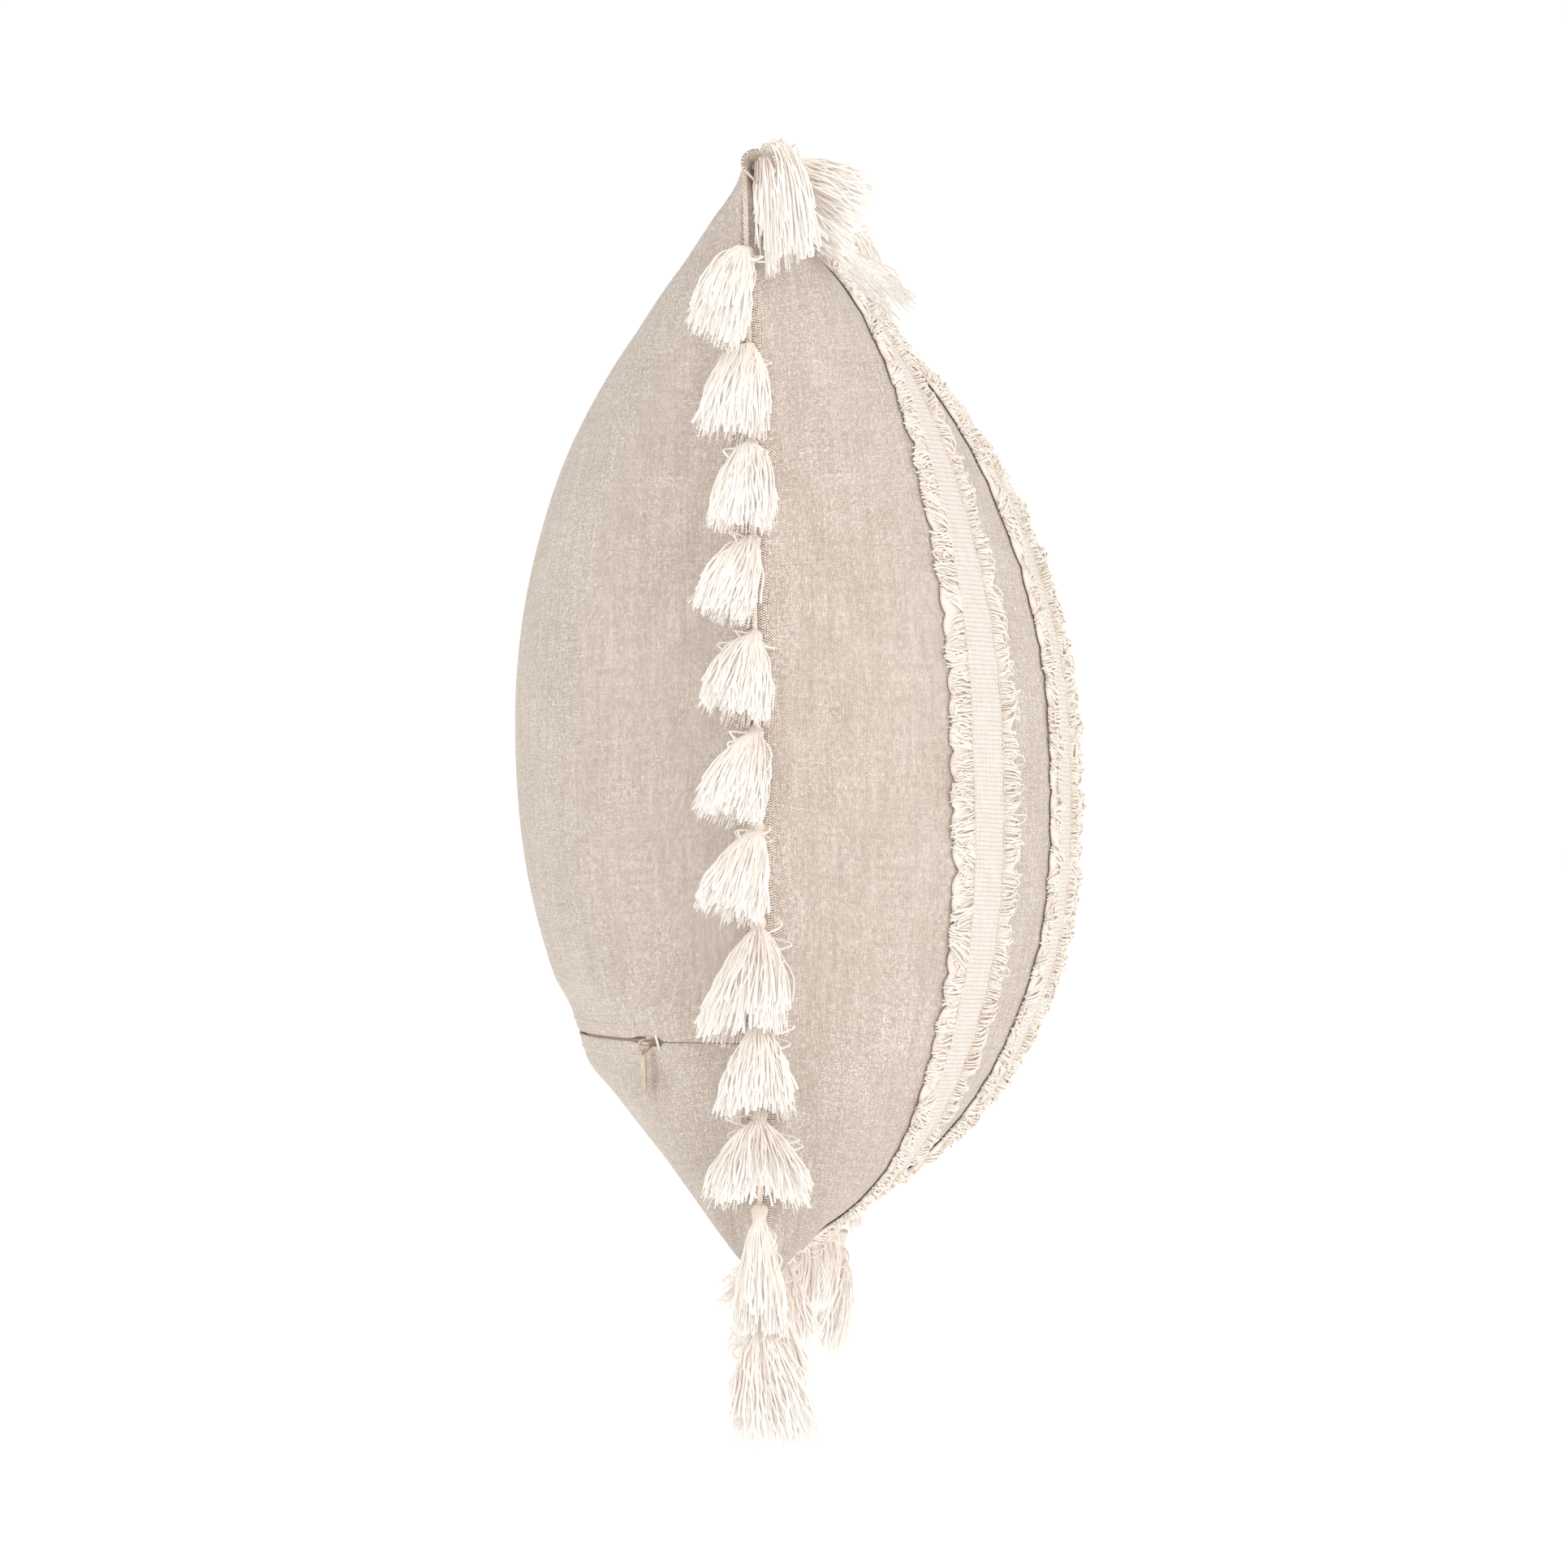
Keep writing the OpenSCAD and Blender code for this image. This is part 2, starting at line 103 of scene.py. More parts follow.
# Trim
TASSEL_STEPS = 12
TRIM_REACH = 1.4
CORD_PITCH = 6.2
CORD_STRAND = 0.62
# Half width of a tassel's gathered neck, how far down it reaches, and how uneven the ends are
NECK = 2.7
NECK_SHARE = 0.3
RAGGED = 0.09
# Lean towards the back in degrees, half spread and length of each near-side tassel, from the top down
NEAR_TASSELS = [
    (23, 12.5, 43), (9, 14.5, 41), (1, 14.0, 39), (21, 12.5, 38), (16, 15.0, 38), (14, 14.5, 41),
    (16, 14.0, 41), (-3, 18.5, 48), (-2, 16.0, 42), (0, 22.0, 38), (0, 10.5, 52),
]
# Lean towards the back in degrees of each bottom tassel, from the near corner on
BOTTOM_LEANS = [-6, 12, -8, 36, 42, 8, 24, 16, 28, 22, 30]
CORNER_LEANS = {"left": -0.05, "right": 0.45}

# Cloth simulation
SIM_CELLS = 64
FINE = 3
SIM_FRAMES = 22
CLOTH = {"quality": 6, "mass": 0.3, "tension_stiffness": 15, "compression_stiffness": 15, "shear_stiffness": 3,
         "bending_stiffness": 0.4, "use_pressure": True, "uniform_pressure_force": 4}
WRINKLE_GAIN = 0.7
WRINKLE_CAP = 4.5
WRINKLE_EDGE = 22

# Stage and camera, in metres, degrees and pixels; the camera's shift and drop in millimetres
FLOOR_HALF = 40.0
FLOOR_HEIGHT = -0.62
WORLD_LIGHT = 1.02
PILLOW_MIDDLE = (0.0, -0.12, 0.0)
LIGHTS = [
    ("key", (-2.2, -1.6, 1.8), PILLOW_MIDDLE, 1.8, 21.0),
    ("fill", (-1.8, 2.0, 0.9), PILLOW_MIDDLE, 1.8, 1.5),
]
CAMERA_DISTANCE = 3.0
CAMERA_TURN = 4.5
CAMERA_ROLL = -0.8
CAMERA_SHIFT = 5.5
CAMERA_DROP = 21.0
FOCAL = 8529.0
IMAGE = 1932.0
SENSOR = 36.0


# ---------------------------------------------------------------- mesh tools
def link(obj):
    bpy.context.scene.collection.objects.link(obj)
    return obj


def mesh_object(name, points, faces, material, uv=None, along=None):
    """A smooth object of quads from points in millimetres of the frame."""
    mesh = bpy.data.meshes.new(name)
    mesh.from_pydata((np.asarray(points) * MM).tolist(), [], np.asarray(faces).tolist())
    mesh.polygons.foreach_set("use_smooth", np.ones(len(mesh.polygons), dtype=bool))
    if uv is not None:
        loops = np.empty(len(mesh.loops), dtype=np.int64)
        mesh.loops.foreach_get("vertex_index", loops)
        layer = mesh.uv_layers.new(name="flat")
        layer.data.foreach_set("uv", np.asarray(uv, dtype=np.float32)[loops].ravel())
    if along is not None:
        shade = mesh.attributes.new("along", "FLOAT", "POINT")
        shade.data.foreach_set("value", np.asarray(along, dtype=np.float32))
    mesh.materials.append(material)
    mesh.update()
    return link(bpy.data.objects.new(name, mesh))


def piece(name, parts, material, body, replaces=()):
    """Joins several (points, faces, uv, along) parts into one piece that rides on a body."""
    points, faces, uvs, alongs, start = [], [], [], [], 0
    for part in parts:
        points.append(part[0])
        faces.append(part[1] + start)
        uvs.append(part[2])
        alongs.append(part[3])
        start += len(part[0])
    obj = mesh_object(name, np.concatenate(points), np.concatenate(faces), material,
                      np.concatenate(uvs), np.concatenate(alongs))
    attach(obj, body)
    if replaces:
        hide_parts(*replaces)
    return obj


def quads(index, flip=False):
    """Faces between the neighbours in a grid of point numbers."""
    found = np.stack([index[:-1, :-1], index[1:, :-1], index[1:, 1:], index[:-1, 1:]], axis=-1).reshape(-1, 4)
    return found[:, ::-1] if flip else found


def ring_walls(index):
    """Faces round closed rings of points; index is (bodies, rings, points of a ring)."""
    beside = np.roll(index, -1, axis=2)
    return np.stack([index[:, :-1], beside[:, :-1], beside[:, 1:], index[:, 1:]], axis=-1).reshape(-1, 4)


def slab(outer, inner, uv, flip=False):
    """A closed thin body between two grids of points; uv has the flat place of each point."""
    rows, columns = outer.shape[:2]
    count = rows * columns
    index = np.arange(count).reshape(rows, columns)
    rim = np.concatenate([index[:, 0], index[-1, 1:], index[-2::-1, -1], index[0, -2:0:-1]])
    after = np.roll(rim, -1)
    walls = np.stack([rim, rim + count, after + count, after], axis=-1)
    faces = np.concatenate([quads(index), quads(index, True) + count, walls])
    if flip:
        faces = faces[:, ::-1]
    points = np.concatenate([outer.reshape(-1, 3), inner.reshape(-1, 3)])
    flat = uv.reshape(-1, 2)
    return points, faces, np.concatenate([flat, flat]), np.zeros(2 * count)


def ring_body(rows, uv, along, flip=False):
    """A closed body through rings of points (rings, points, 3) with an even number of points a ring."""
    count, columns = rows.shape[:2]
    index = np.arange(count * columns).reshape(count, columns)
    caps = []
    for k in range(columns // 2 - 1):
        corners = np.array([k + 1, k, columns - 1 - k, columns - 2 - k])
        caps += [index[0, corners], index[-1, corners[[1, 0, 3, 2]]]]
    faces = np.concatenate([ring_walls(index[None]), np.array(caps)])
    return rows.reshape(-1, 3), faces[:, ::-1] if flip else faces, uv.reshape(-1, 2), along.reshape(-1)


def unit(vectors):
    return vectors / np.maximum(np.linalg.norm(vectors, axis=-1, keepdims=True), 1e-9)


def tubes(paths, radii):
    """Closed four-sided tubes along paths (tubes, rings, 3) with radii (tubes, rings)."""
    sides = 4
    count, rings = paths.shape[:2]
    tangent = unit(np.gradient(paths, axis=1))
    guide = np.cross(tangent[:, rings // 2], [0.36, 0.48, 0.8])[:, None, :]
    normal = unit(guide - tangent * np.sum(guide * tangent, axis=-1, keepdims=True))
    binormal = np.cross(tangent, normal)
    angle = np.arange(sides) * 2 * math.pi / sides
    ring = (normal[:, :, None, :] * np.cos(angle)[None, None, :, None]
            + binormal[:, :, None, :] * np.sin(angle)[None, None, :, None])
    points = paths[:, :, None, :] + ring * radii[:, :, None, None]
    index = np.arange(count * rings * sides).reshape(count, rings, sides)
    faces = np.concatenate([ring_walls(index), index[:, 0][:, [0, 3, 2, 1]], index[:, -1]])
    steps = np.cumsum(np.linalg.norm(np.diff(paths, axis=1), axis=-1), axis=1)
    length = np.concatenate([np.zeros((count, 1)), steps], axis=1)
    uv = np.stack(np.broadcast_arrays(np.arange(sides)[None, None, :] / sides, length[:, :, None]), axis=-1)
    along = np.broadcast_to(np.linspace(0, 1, rings)[None, :, None], index.shape)
    return points.reshape(-1, 3), faces, uv.reshape(-1, 2), along.reshape(-1)


def smooth_step(low, high, value):
    t = np.clip((value - low) / (high - low), 0, 1)
    return t * t * (3 - 2 * t)


def sampled(at, known, line):
    """Vectors at places along a line whose vectors are known at some places."""
    return np.stack([np.interp(at, known, line[:, k]) for k in range(3)], axis=-1)


def flat_grid(cells):
    """Even steps over the flat fabric, and the grid of s and t that they make."""
    steps = np.linspace(-HALF_COVER, HALF_COVER, cells + 1)
    return np.meshgrid(steps, steps, indexing="ij")


def inside_edge(s, t):
    return HALF_COVER - np.maximum(np.abs(s), np.abs(t))


# ---------------------------------------------------------------- shader tools
class Shader:
    """A procedural material under construction."""

    def __init__(self, name):
        self.material = bpy.data.materials.new(name)
        self.material.use_nodes = True
        self.tree = self.material.node_tree
        self.tree.nodes.clear()
        self.output = self.tree.nodes.new("ShaderNodeOutputMaterial")
        self.surface = self.tree.nodes.new("ShaderNodeBsdfPrincipled")
        self.tree.links.new(self.surface.outputs[0], self.output.inputs[0])

    def put(self, socket, value):
        if isinstance(value, bpy.types.NodeSocket):
            self.tree.links.new(value, socket)
        else:
            socket.default_value = value

    def add(self, kind, inputs=(), out=0, **settings):
        node = self.tree.nodes.new("ShaderNode" + kind)
        for key, value in settings.items():
            setattr(node, key, value)
        for key, value in dict(inputs).items():
            self.put(node.inputs[key], value)
        return node.outputs[out]

    def math(self, operation, a, b=0.0, c=0.0):
        return self.add("Math", {0: a, 1: b, 2: c}, operation=operation)

    def times(self, a, b):
        return self.math("MULTIPLY", a, b)

    def total(self, start, *terms):
        """start plus each term's value times its weight."""
        for value, weight in terms:
            start = self.math("MULTIPLY_ADD", value, weight, start)
        return start

    def ripple(self, value, period):
        return self.math("ABSOLUTE", self.math("SINE", self.times(value, math.pi / period)))

    def stretched(self, u, v, rate_u, rate_v, layer=0.0):
        """A place for noise that runs at its own rate along u and v."""
        return self.join(self.times(u, rate_u), self.times(v, rate_v), layer)

    def noise(self, vector, scale, detail=2.0, rough=0.5):
        return self.add("TexNoise", {"Vector": vector, "Scale": scale, "Detail": detail, "Roughness": rough})

    def spread(self, value, low, high, to_low=0.0, to_high=1.0):
        return self.add("MapRange", {"Value": value, "From Min": low, "From Max": high,
                                     "To Min": to_low, "To Max": to_high})

    def mix(self, factor, a, b):
        node = self.tree.nodes.new("ShaderNodeMix")
        node.data_type = "RGBA"
        self.put(node.inputs[0], factor)
        self.put(node.inputs[6], a if isinstance(a, bpy.types.NodeSocket) else (*a, 1))
        self.put(node.inputs[7], b if isinstance(b, bpy.types.NodeSocket) else (*b, 1))
        return node.outputs[2]

    def split(self, vector):
        node = self.tree.nodes.new("ShaderNodeSeparateXYZ")
        self.put(node.inputs[0], vector)
        return node.outputs

    def join(self, x, y, z=0.0):
        return self.add("CombineXYZ", {0: x, 1: y, 2: z})

    def coordinate(self, name):
        return self.tree.nodes.new("ShaderNodeTexCoord").outputs[name]

    def bump(self, height, distance, strength=1.0):
        return self.add("Bump", {"Height": height, "Distance": distance, "Strength": strength})

    def finish(self, **sockets):
        for key, value in sockets.items():
            self.put(self.surface.inputs[key.replace("_", " ")], value)
        return self.material


def colour(red, green, blue):
    """Linear colour of an sRGB one given from 0 to 255."""
    def linear(c):
        c /= 255
        return c / 12.92 if c <= 0.04045 else ((c + 0.055) / 1.055) ** 2.4
    return linear(red), linear(green), linear(blue)


def plain_weave(s, u, v, pitch_u, pitch_v):
    """Height of a plain weave, whether the warp is on top, and the yarn counts, from flat places in mm."""
    wobble = s.noise(s.stretched(u, v, 0.12, 0.12), 1.0)
    shift = s.times(s.math("SUBTRACT", wobble, 0.5), 1.6)
    x = s.math("MULTIPLY_ADD", u, 1 / pitch_u, shift)
    y = s.math("MULTIPLY_ADD", v, 1 / pitch_v, shift)
    wave_x = s.math("SINE", s.times(x, math.pi))
    wave_y = s.math("SINE", s.times(y, math.pi))
    over = s.math("GREATER_THAN", s.times(wave_x, wave_y), 0.0)
    crown_x = s.math("ABSOLUTE", wave_x)
    crown_y = s.math("ABSOLUTE", wave_y)
    warp = s.times(s.math("POWER", crown_x, 0.55), crown_y)
    weft = s.times(crown_x, s.math("POWER", crown_y, 0.55))
    return s.add("Mix", {0: over, 2: weft, 3: warp}), over, x, y


def linen_material(name, light, dark, pitch=0.56):
    """Plain-woven linen look: pale dashes on a brown ground, with slubs, streaks and dark specks."""
    s = Shader(name)
    flat = s.coordinate("UV")
    u, v, _ = s.split(flat)
    height, over, x, y = plain_weave(s, u, v, pitch, pitch)
    column, row = s.math("FLOOR", x), s.math("FLOOR", y)

    def thread_noise(across, along, layers, rough=0.5):
        """Noise drawn out along the warp, and along the weft."""
        return [s.noise(s.stretched(u, v, *rates, layer), 1.0, 2.0, rough)
                for rates, layer in zip(((across, along), (along, across)), layers)]

    warp_tone = s.noise(s.join(column, s.times(v, 0.035)), 0.83, 3.0, 0.6)
    weft_tone = s.noise(s.join(s.times(u, 0.035), row, 7.0), 0.83, 3.0, 0.6)
    slub = s.math("MAXIMUM", *[s.spread(value, 0.62, 0.78) for value in thread_noise(0.9, 0.16, (3.0, 5.0))])
    warp_run, weft_run = thread_noise(1.8, 0.35, (23.0, 29.0), 0.6)
    streak = s.noise(s.stretched(u, v, 0.16, 0.03, 11.0), 1.0, 3.0, 0.6)
    cell = s.add("TexWhiteNoise", {"Vector": s.join(column, row)}, noise_dimensions="2D")
    grit = s.noise(flat, 0.9, 2.0, 0.6)
    cloud = s.noise(flat, 0.02, 3.0, 0.6)
    dash = s.times(s.math("SUBTRACT", 1.0, over), height)
    tone = s.total(s.times(warp_tone, 0.5), (weft_tone, 0.35), (streak, 0.22), (cloud, 0.2), (cell, 0.22),
                   (grit, 0.5), (warp_run, 0.75), (weft_run, 0.75), (dash, 0.95), (slub, 0.12))
    base = s.mix(s.spread(tone, 1.7, 2.2), dark, light)
    speck = s.spread(s.noise(s.stretched(u, v, 0.55, 0.3, 19.0), 1.0, 2.0), 0.70, 0.78)
    base = s.mix(s.times(speck, 0.45), base, tuple(0.55 * c for c in dark))
    fine = s.noise(flat, 2.2, 3.0, 0.7)
    relief = s.total(height, (slub, 0.35), (fine, 0.3))
    return s.finish(Base_Color=base, Roughness=s.spread(fine, 0.2, 0.8, 0.82, 0.97),
                    Normal=s.bump(relief, 0.00022, 0.85),
                    Sheen_Weight=0.18, Sheen_Roughness=0.5, Specular_IOR_Level=0.2)


def tape_material(name, light, dark, glow=0.0):
    """Closely woven ribbed cotton tape: a fine grid with raised ribs across it, painted lighter on the raised weave
    and ribs and darker in the hollows as painted shade; its glow is painted light.
    """
    s = Shader(name)
    u, v, _ = s.split(s.coordinate("UV"))
    height = plain_weave(s, u, v, 0.75, 0.95)[0]
    relief = s.total(height, (s.ripple(v, 1.9), 0.7), (s.ripple(u, 2.5), 0.35))
    soil = s.noise(s.stretched(u, v, 0.3, 0.12), 1.0, 4.0, 0.6)
    # painted shade: the tone follows the relief, darker in the hollows of the weave and between the ribs
    tone = s.total(s.times(relief, 0.38), (soil, 0.6))
    base = s.mix(s.spread(tone, 0.25, 0.95), dark, light)
    # the emission is painted light; the zip tape uses it to lift the shade in the zip's slot
    return s.finish(Base_Color=base, Roughness=s.spread(soil, 0.3, 0.7, 0.8, 0.95),
                    Normal=s.bump(relief, 0.00025, 0.9), Sheen_Weight=0.15, Sheen_Roughness=0.5,
                    Specular_IOR_Level=0.2, Emission_Color=base, Emission_Strength=glow)


def yarn_material(name, light, dark, tip, pitch, glow=0.08):
    """Two-ply yarn: the twist shows as slanting ridges with painted shade in the grooves between the plies, the
    yarn is painted darker towards its root as shade inside the bundle, the cut ends are paler, and a glow paints
    light into it.
    """
    s = Shader(name)
    u, v, _ = s.split(s.coordinate("UV"))
    ridge = s.ripple(s.math("MULTIPLY_ADD", v, 1 / pitch, u), 0.5)
    strand = s.noise(s.coordinate("Object"), 420.0, 3.0, 0.6)
    patch = s.noise(s.coordinate("Object"), 60.0, 2.0, 0.5)
    along = s.add("Attribute", out=2, attribute_name="along")
    # painted shade: darker in the twist grooves and towards the root of each yarn, where it lies under the others
    tone = s.total(s.times(strand, 0.4), (ridge, 0.3), (patch, 0.45), (s.spread(along, 0.0, 0.45), 0.25))
    base = s.mix(s.spread(tone, 0.35, 0.95), dark, light)
    base = s.mix(s.times(s.spread(along, 0.72, 1.0), 0.8), base, tip)
    # the emission is painted light: it brightens the yarn where the strands shade one another
    return s.finish(Base_Color=base, Roughness=s.spread(strand, 0.2, 0.8, 0.85, 0.98),
                    Normal=s.bump(s.total(ridge, (strand, 0.5)), 0.00006, 0.5), Specular_IOR_Level=0.12,
                    Emission_Color=base, Emission_Strength=glow)


def metal_material(name, light, dark, rough, metallic):
    """Sprayed or plated zip metal with fine scuffs on it."""
    s = Shader(name)
    where = s.coordinate("Object")
    scuff = s.noise(where, 900.0, 4.0, 0.6)
    wear = s.noise(where, 220.0, 3.0, 0.5)
    base = s.mix(s.spread(wear, 0.35, 0.7), light, dark)
    return s.finish(Base_Color=base, Metallic=metallic,
                    Roughness=s.spread(scuff, 0.3, 0.7, rough - 0.08, rough + 0.12),
                    Normal=s.bump(scuff, 0.00004, 0.5))


def coil_material(name, light, dark, glow=0.28):
    """Moulded zip coil: nylon, banded by the sewing thread across it; the glow is painted light that brightens the
    coil in the shaded slot.
    """
    s = Shader(name)
    _, v, _ = s.split(s.coordinate("UV"))
    grain = s.noise(s.coordinate("Object"), 500.0, 3.0, 0.6)
    base = s.mix(s.total(s.times(grain, 0.5), (s.ripple(v, 1.3), 0.4)), dark, light)
    return s.finish(Base_Color=base, Roughness=s.spread(grain, 0.3, 0.7, 0.4, 0.6),
                    Normal=s.bump(grain, 0.00005, 0.4), Specular_IOR_Level=0.4,
                    Emission_Color=base, Emission_Strength=glow)


def wadding_material(name, light, dark):
    """Loose polyester fibre in soft clumps."""
    s = Shader(name)
    where = s.coordinate("Object")
    clump = s.noise(where, 45.0, 5.0, 0.7)
    fibre = s.noise(where, 600.0, 4.0, 0.7)
    tone = s.total(s.times(clump, 0.6), (fibre, 0.4))
    return s.finish(Base_Color=s.mix(s.spread(tone, 0.3, 0.7), dark, light),
                    Roughness=s.spread(fibre, 0.3, 0.7, 0.85, 1.0), Normal=s.bump(tone, 0.002, 0.9))


def stage_material(name, shade):
    """Pale matt backdrop that glows a little, so that it reads as white in every view."""
    s = Shader(name)
    cloud = s.noise(s.coordinate("Object"), 1.5, 2.0, 0.5)
    base = s.mix(cloud, (shade,) * 3, (shade + 0.02,) * 3)
    return s.finish(Base_Color=base, Roughness=0.9, Specular_IOR_Level=0.05,
                    Emission_Color=(1, 1, 1, 1), Emission_Strength=0.42)


# ---------------------------------------------------------------- the cover
def drawn_in(t):
    return 1 - PULL_IN * (1 - t * t)


def crowned(a, b):
    """Surface coordinate of a fabric place a (-1 to 1) where the other coordinate is b."""
    t = np.abs(a)
    return np.sign(a) * t * (1 + CROWN * (1 - t ** 3) * np.maximum(0, 1 - b * b) ** POWER)


def pillow_point(u, v, side, inset=0.0, gap=SEAM_GAP):
    full = np.maximum(0, (1 - u * u) * (1 - v * v)) ** POWER
    if side == FRONT:
        slump = 1 - SLUMP * np.maximum(0, v) ** 3 * (1 - u * u) + FRONT_DROP * smooth_step(0.0, 0.5, -v)
    else:
        slump = 1 + BACK_RISE * smooth_step(-0.1, 0.45, v) - BACK_TUCK * smooth_step(0.58, 0.8, -v)
    x = (HALF_SIDE - inset) * u * drawn_in(v)
    y = side * (gap + (DEPTH_HALF - inset) * full * slump)
    z = (HALF_SIDE - inset) * v * drawn_in(u) - SAG * (1 - v * v) * np.sqrt(np.maximum(0, 1 - u * u))
    return np.stack(np.broadcast_arrays(x, y, z), axis=-1) + MIDDLE


def form_point(s, t, side, inset=0.0, gap=SEAM_GAP):
    """Place in the frame of a point of the flat fabric; s and t run over half the cover each way."""
    a, b = s / HALF_COVER, t / HALF_COVER
    return pillow_point(crowned(a, b), crowned(b, a), side, inset, gap)


def blurred(field, passes):
    for _ in range(passes):
        for axis in (0, 1):
            before = np.roll(field, 1, axis)
            after = np.roll(field, -1, axis)
            edge = [slice(None)] * field.ndim
            edge[axis] = 0
            before[tuple(edge)] = field[tuple(edge)]
            edge[axis] = -1
            after[tuple(edge)] = field[tuple(edge)]
            field = (before + 2 * field + after) / 4
    return field


def simulate_cover():
    """Blows the sewn-up flat fabric up with cloth simulation; returns the wrinkles of each side."""
    n = SIM_CELLS + 1
    s, t = flat_grid(SIM_CELLS)
    front_index = np.arange(n * n).reshape(n, n)
    back_index = front_index.copy()
    back_index[1:-1, 1:-1] = n * n + np.arange((n - 2) ** 2).reshape(n - 2, n - 2)
    base_front = form_point(s, t, FRONT, gap=0.0)
    base_back = form_point(s, t, BACK, gap=0.0)
    base = np.concatenate([base_front.reshape(-1, 3), base_back[1:-1, 1:-1].reshape(-1, 3)])
    flat_front = np.stack([s, np.full_like(s, MIDDLE[1] - 0.5), t], axis=-1)
    flat_back = flat_front + [0, 1.0, 0]
    flat = np.concatenate([flat_front.reshape(-1, 3), flat_back[1:-1, 1:-1].reshape(-1, 3)])
    faces = np.concatenate([quads(front_index), quads(back_index, True)])
    mesh = bpy.data.meshes.new("cover_cloth")
    mesh.from_pydata((base * MM).tolist(), [], faces.tolist())
    obj = link(bpy.data.objects.new("cover_cloth", mesh))
    obj.shape_key_add(name="Basis")
    key = obj.shape_key_add(name="flat")
    key.data.foreach_set("co", (flat * MM).ravel())
    cloth = obj.modifiers.new("Cloth", "CLOTH")
    settings = cloth.settings
    settings.rest_shape_key = key
    for name, value in CLOTH.items():
        setattr(settings, name, value)
    settings.effector_weights.gravity = 0
    cloth.collision_settings.use_collision = False
    cloth.point_cache.frame_start = 1
    cloth.point_cache.frame_end = SIM_FRAMES
    scene = bpy.context.scene
    for number in range(1, SIM_FRAMES + 1):
        scene.frame_set(number)
    done = obj.evaluated_get(bpy.context.evaluated_depsgraph_get()).data
    result = np.empty(len(done.vertices) * 3)
    done.vertices.foreach_get("co", result)
    result = result.reshape(-1, 3) / MM
    scene.frame_set(1)
    bpy.data.objects.remove(obj, do_unlink=True)
    bpy.data.meshes.remove(mesh)
    moved = result - base
    edge = smooth_step(0, WRINKLE_EDGE, inside_edge(s, t))[..., None]
    fields = {}
    for side, index in ((FRONT, front_index), (BACK, back_index)):
        field = moved[index]
        field = field - blurred(field, 60)
        field = blurred(field, 1) * WRINKLE_GAIN * edge
        size = np.linalg.norm(field, axis=-1, keepdims=True)
        fields[side] = field * WRINKLE_CAP * np.tanh(size / WRINKLE_CAP) / np.maximum(size, 1e-6)
    return fields


def finer(field, times):
    """A grid of vectors with each cell cut into times x times, through a cubic curve."""
    for axis in (0, 1):
        f = np.moveaxis(field, axis, 0)
        padded = np.concatenate([2 * f[:1] - f[1:2], f, 2 * f[-1:] - f[-2:-1]])
        p0, p1, p2, p3 = padded[:-3], padded[1:-2], padded[2:-1], padded[3:]
        rows = []
        for k in range(times):
            q = k / times
            rows.append(0.5 * (2 * p1 + (p2 - p0) * q + (2 * p0 - 5 * p1 + 4 * p2 - p3) * q * q
                               + (3 * p1 - p0 - 3 * p2 + p3) * q ** 3))
        out = np.empty(((len(f) - 1) * times + 1,) + f.shape[1:])
        for k in range(times):
            out[k:-1:times] = rows[k]
        out[-1] = f[-1]
        field = np.moveaxis(out, 0, axis)
    return field


def zip_point(angle, offset, height):
    """Place on the zip: an angle in degrees from the middle, outwards and upwards in the leaning plane."""
    a, lean = np.radians(angle), math.radians(ZIP_TILT)
    reach = ZIP_RADIUS + offset * math.cos(lean) + height * math.sin(lean)
    rise = -offset * math.sin(lean) + height * math.cos(lean)
    place = -np.sin(a) * reach, ZIP_CENTRE_Y + np.cos(a) * reach, ZIP_Z + rise
    return np.stack(np.broadcast_arrays(*place), axis=-1)


def zip_angle(place):
    return np.degrees(np.arctan2(-place[..., 0], place[..., 1] - ZIP_CENTRE_Y))


def onto_zip(place):
    """Brings the fabric beside the zip onto the zip's own arc."""
    angle = zip_angle(place)
    lean = math.radians(ZIP_TILT)
    height = (place[..., 2] - ZIP_Z + LIP_OFFSET * math.sin(lean)) / math.cos(lean)
    near = 1 - smooth_step(8, 26, np.abs(height))
    within = 1 - smooth_step(ZIP_HALF_ANGLE + 0.5, ZIP_HALF_ANGLE + 4.5, np.abs(angle))
    weight = (near * within)[..., None]
    return place * (1 - weight) + zip_point(angle, LIP_OFFSET, height) * weight


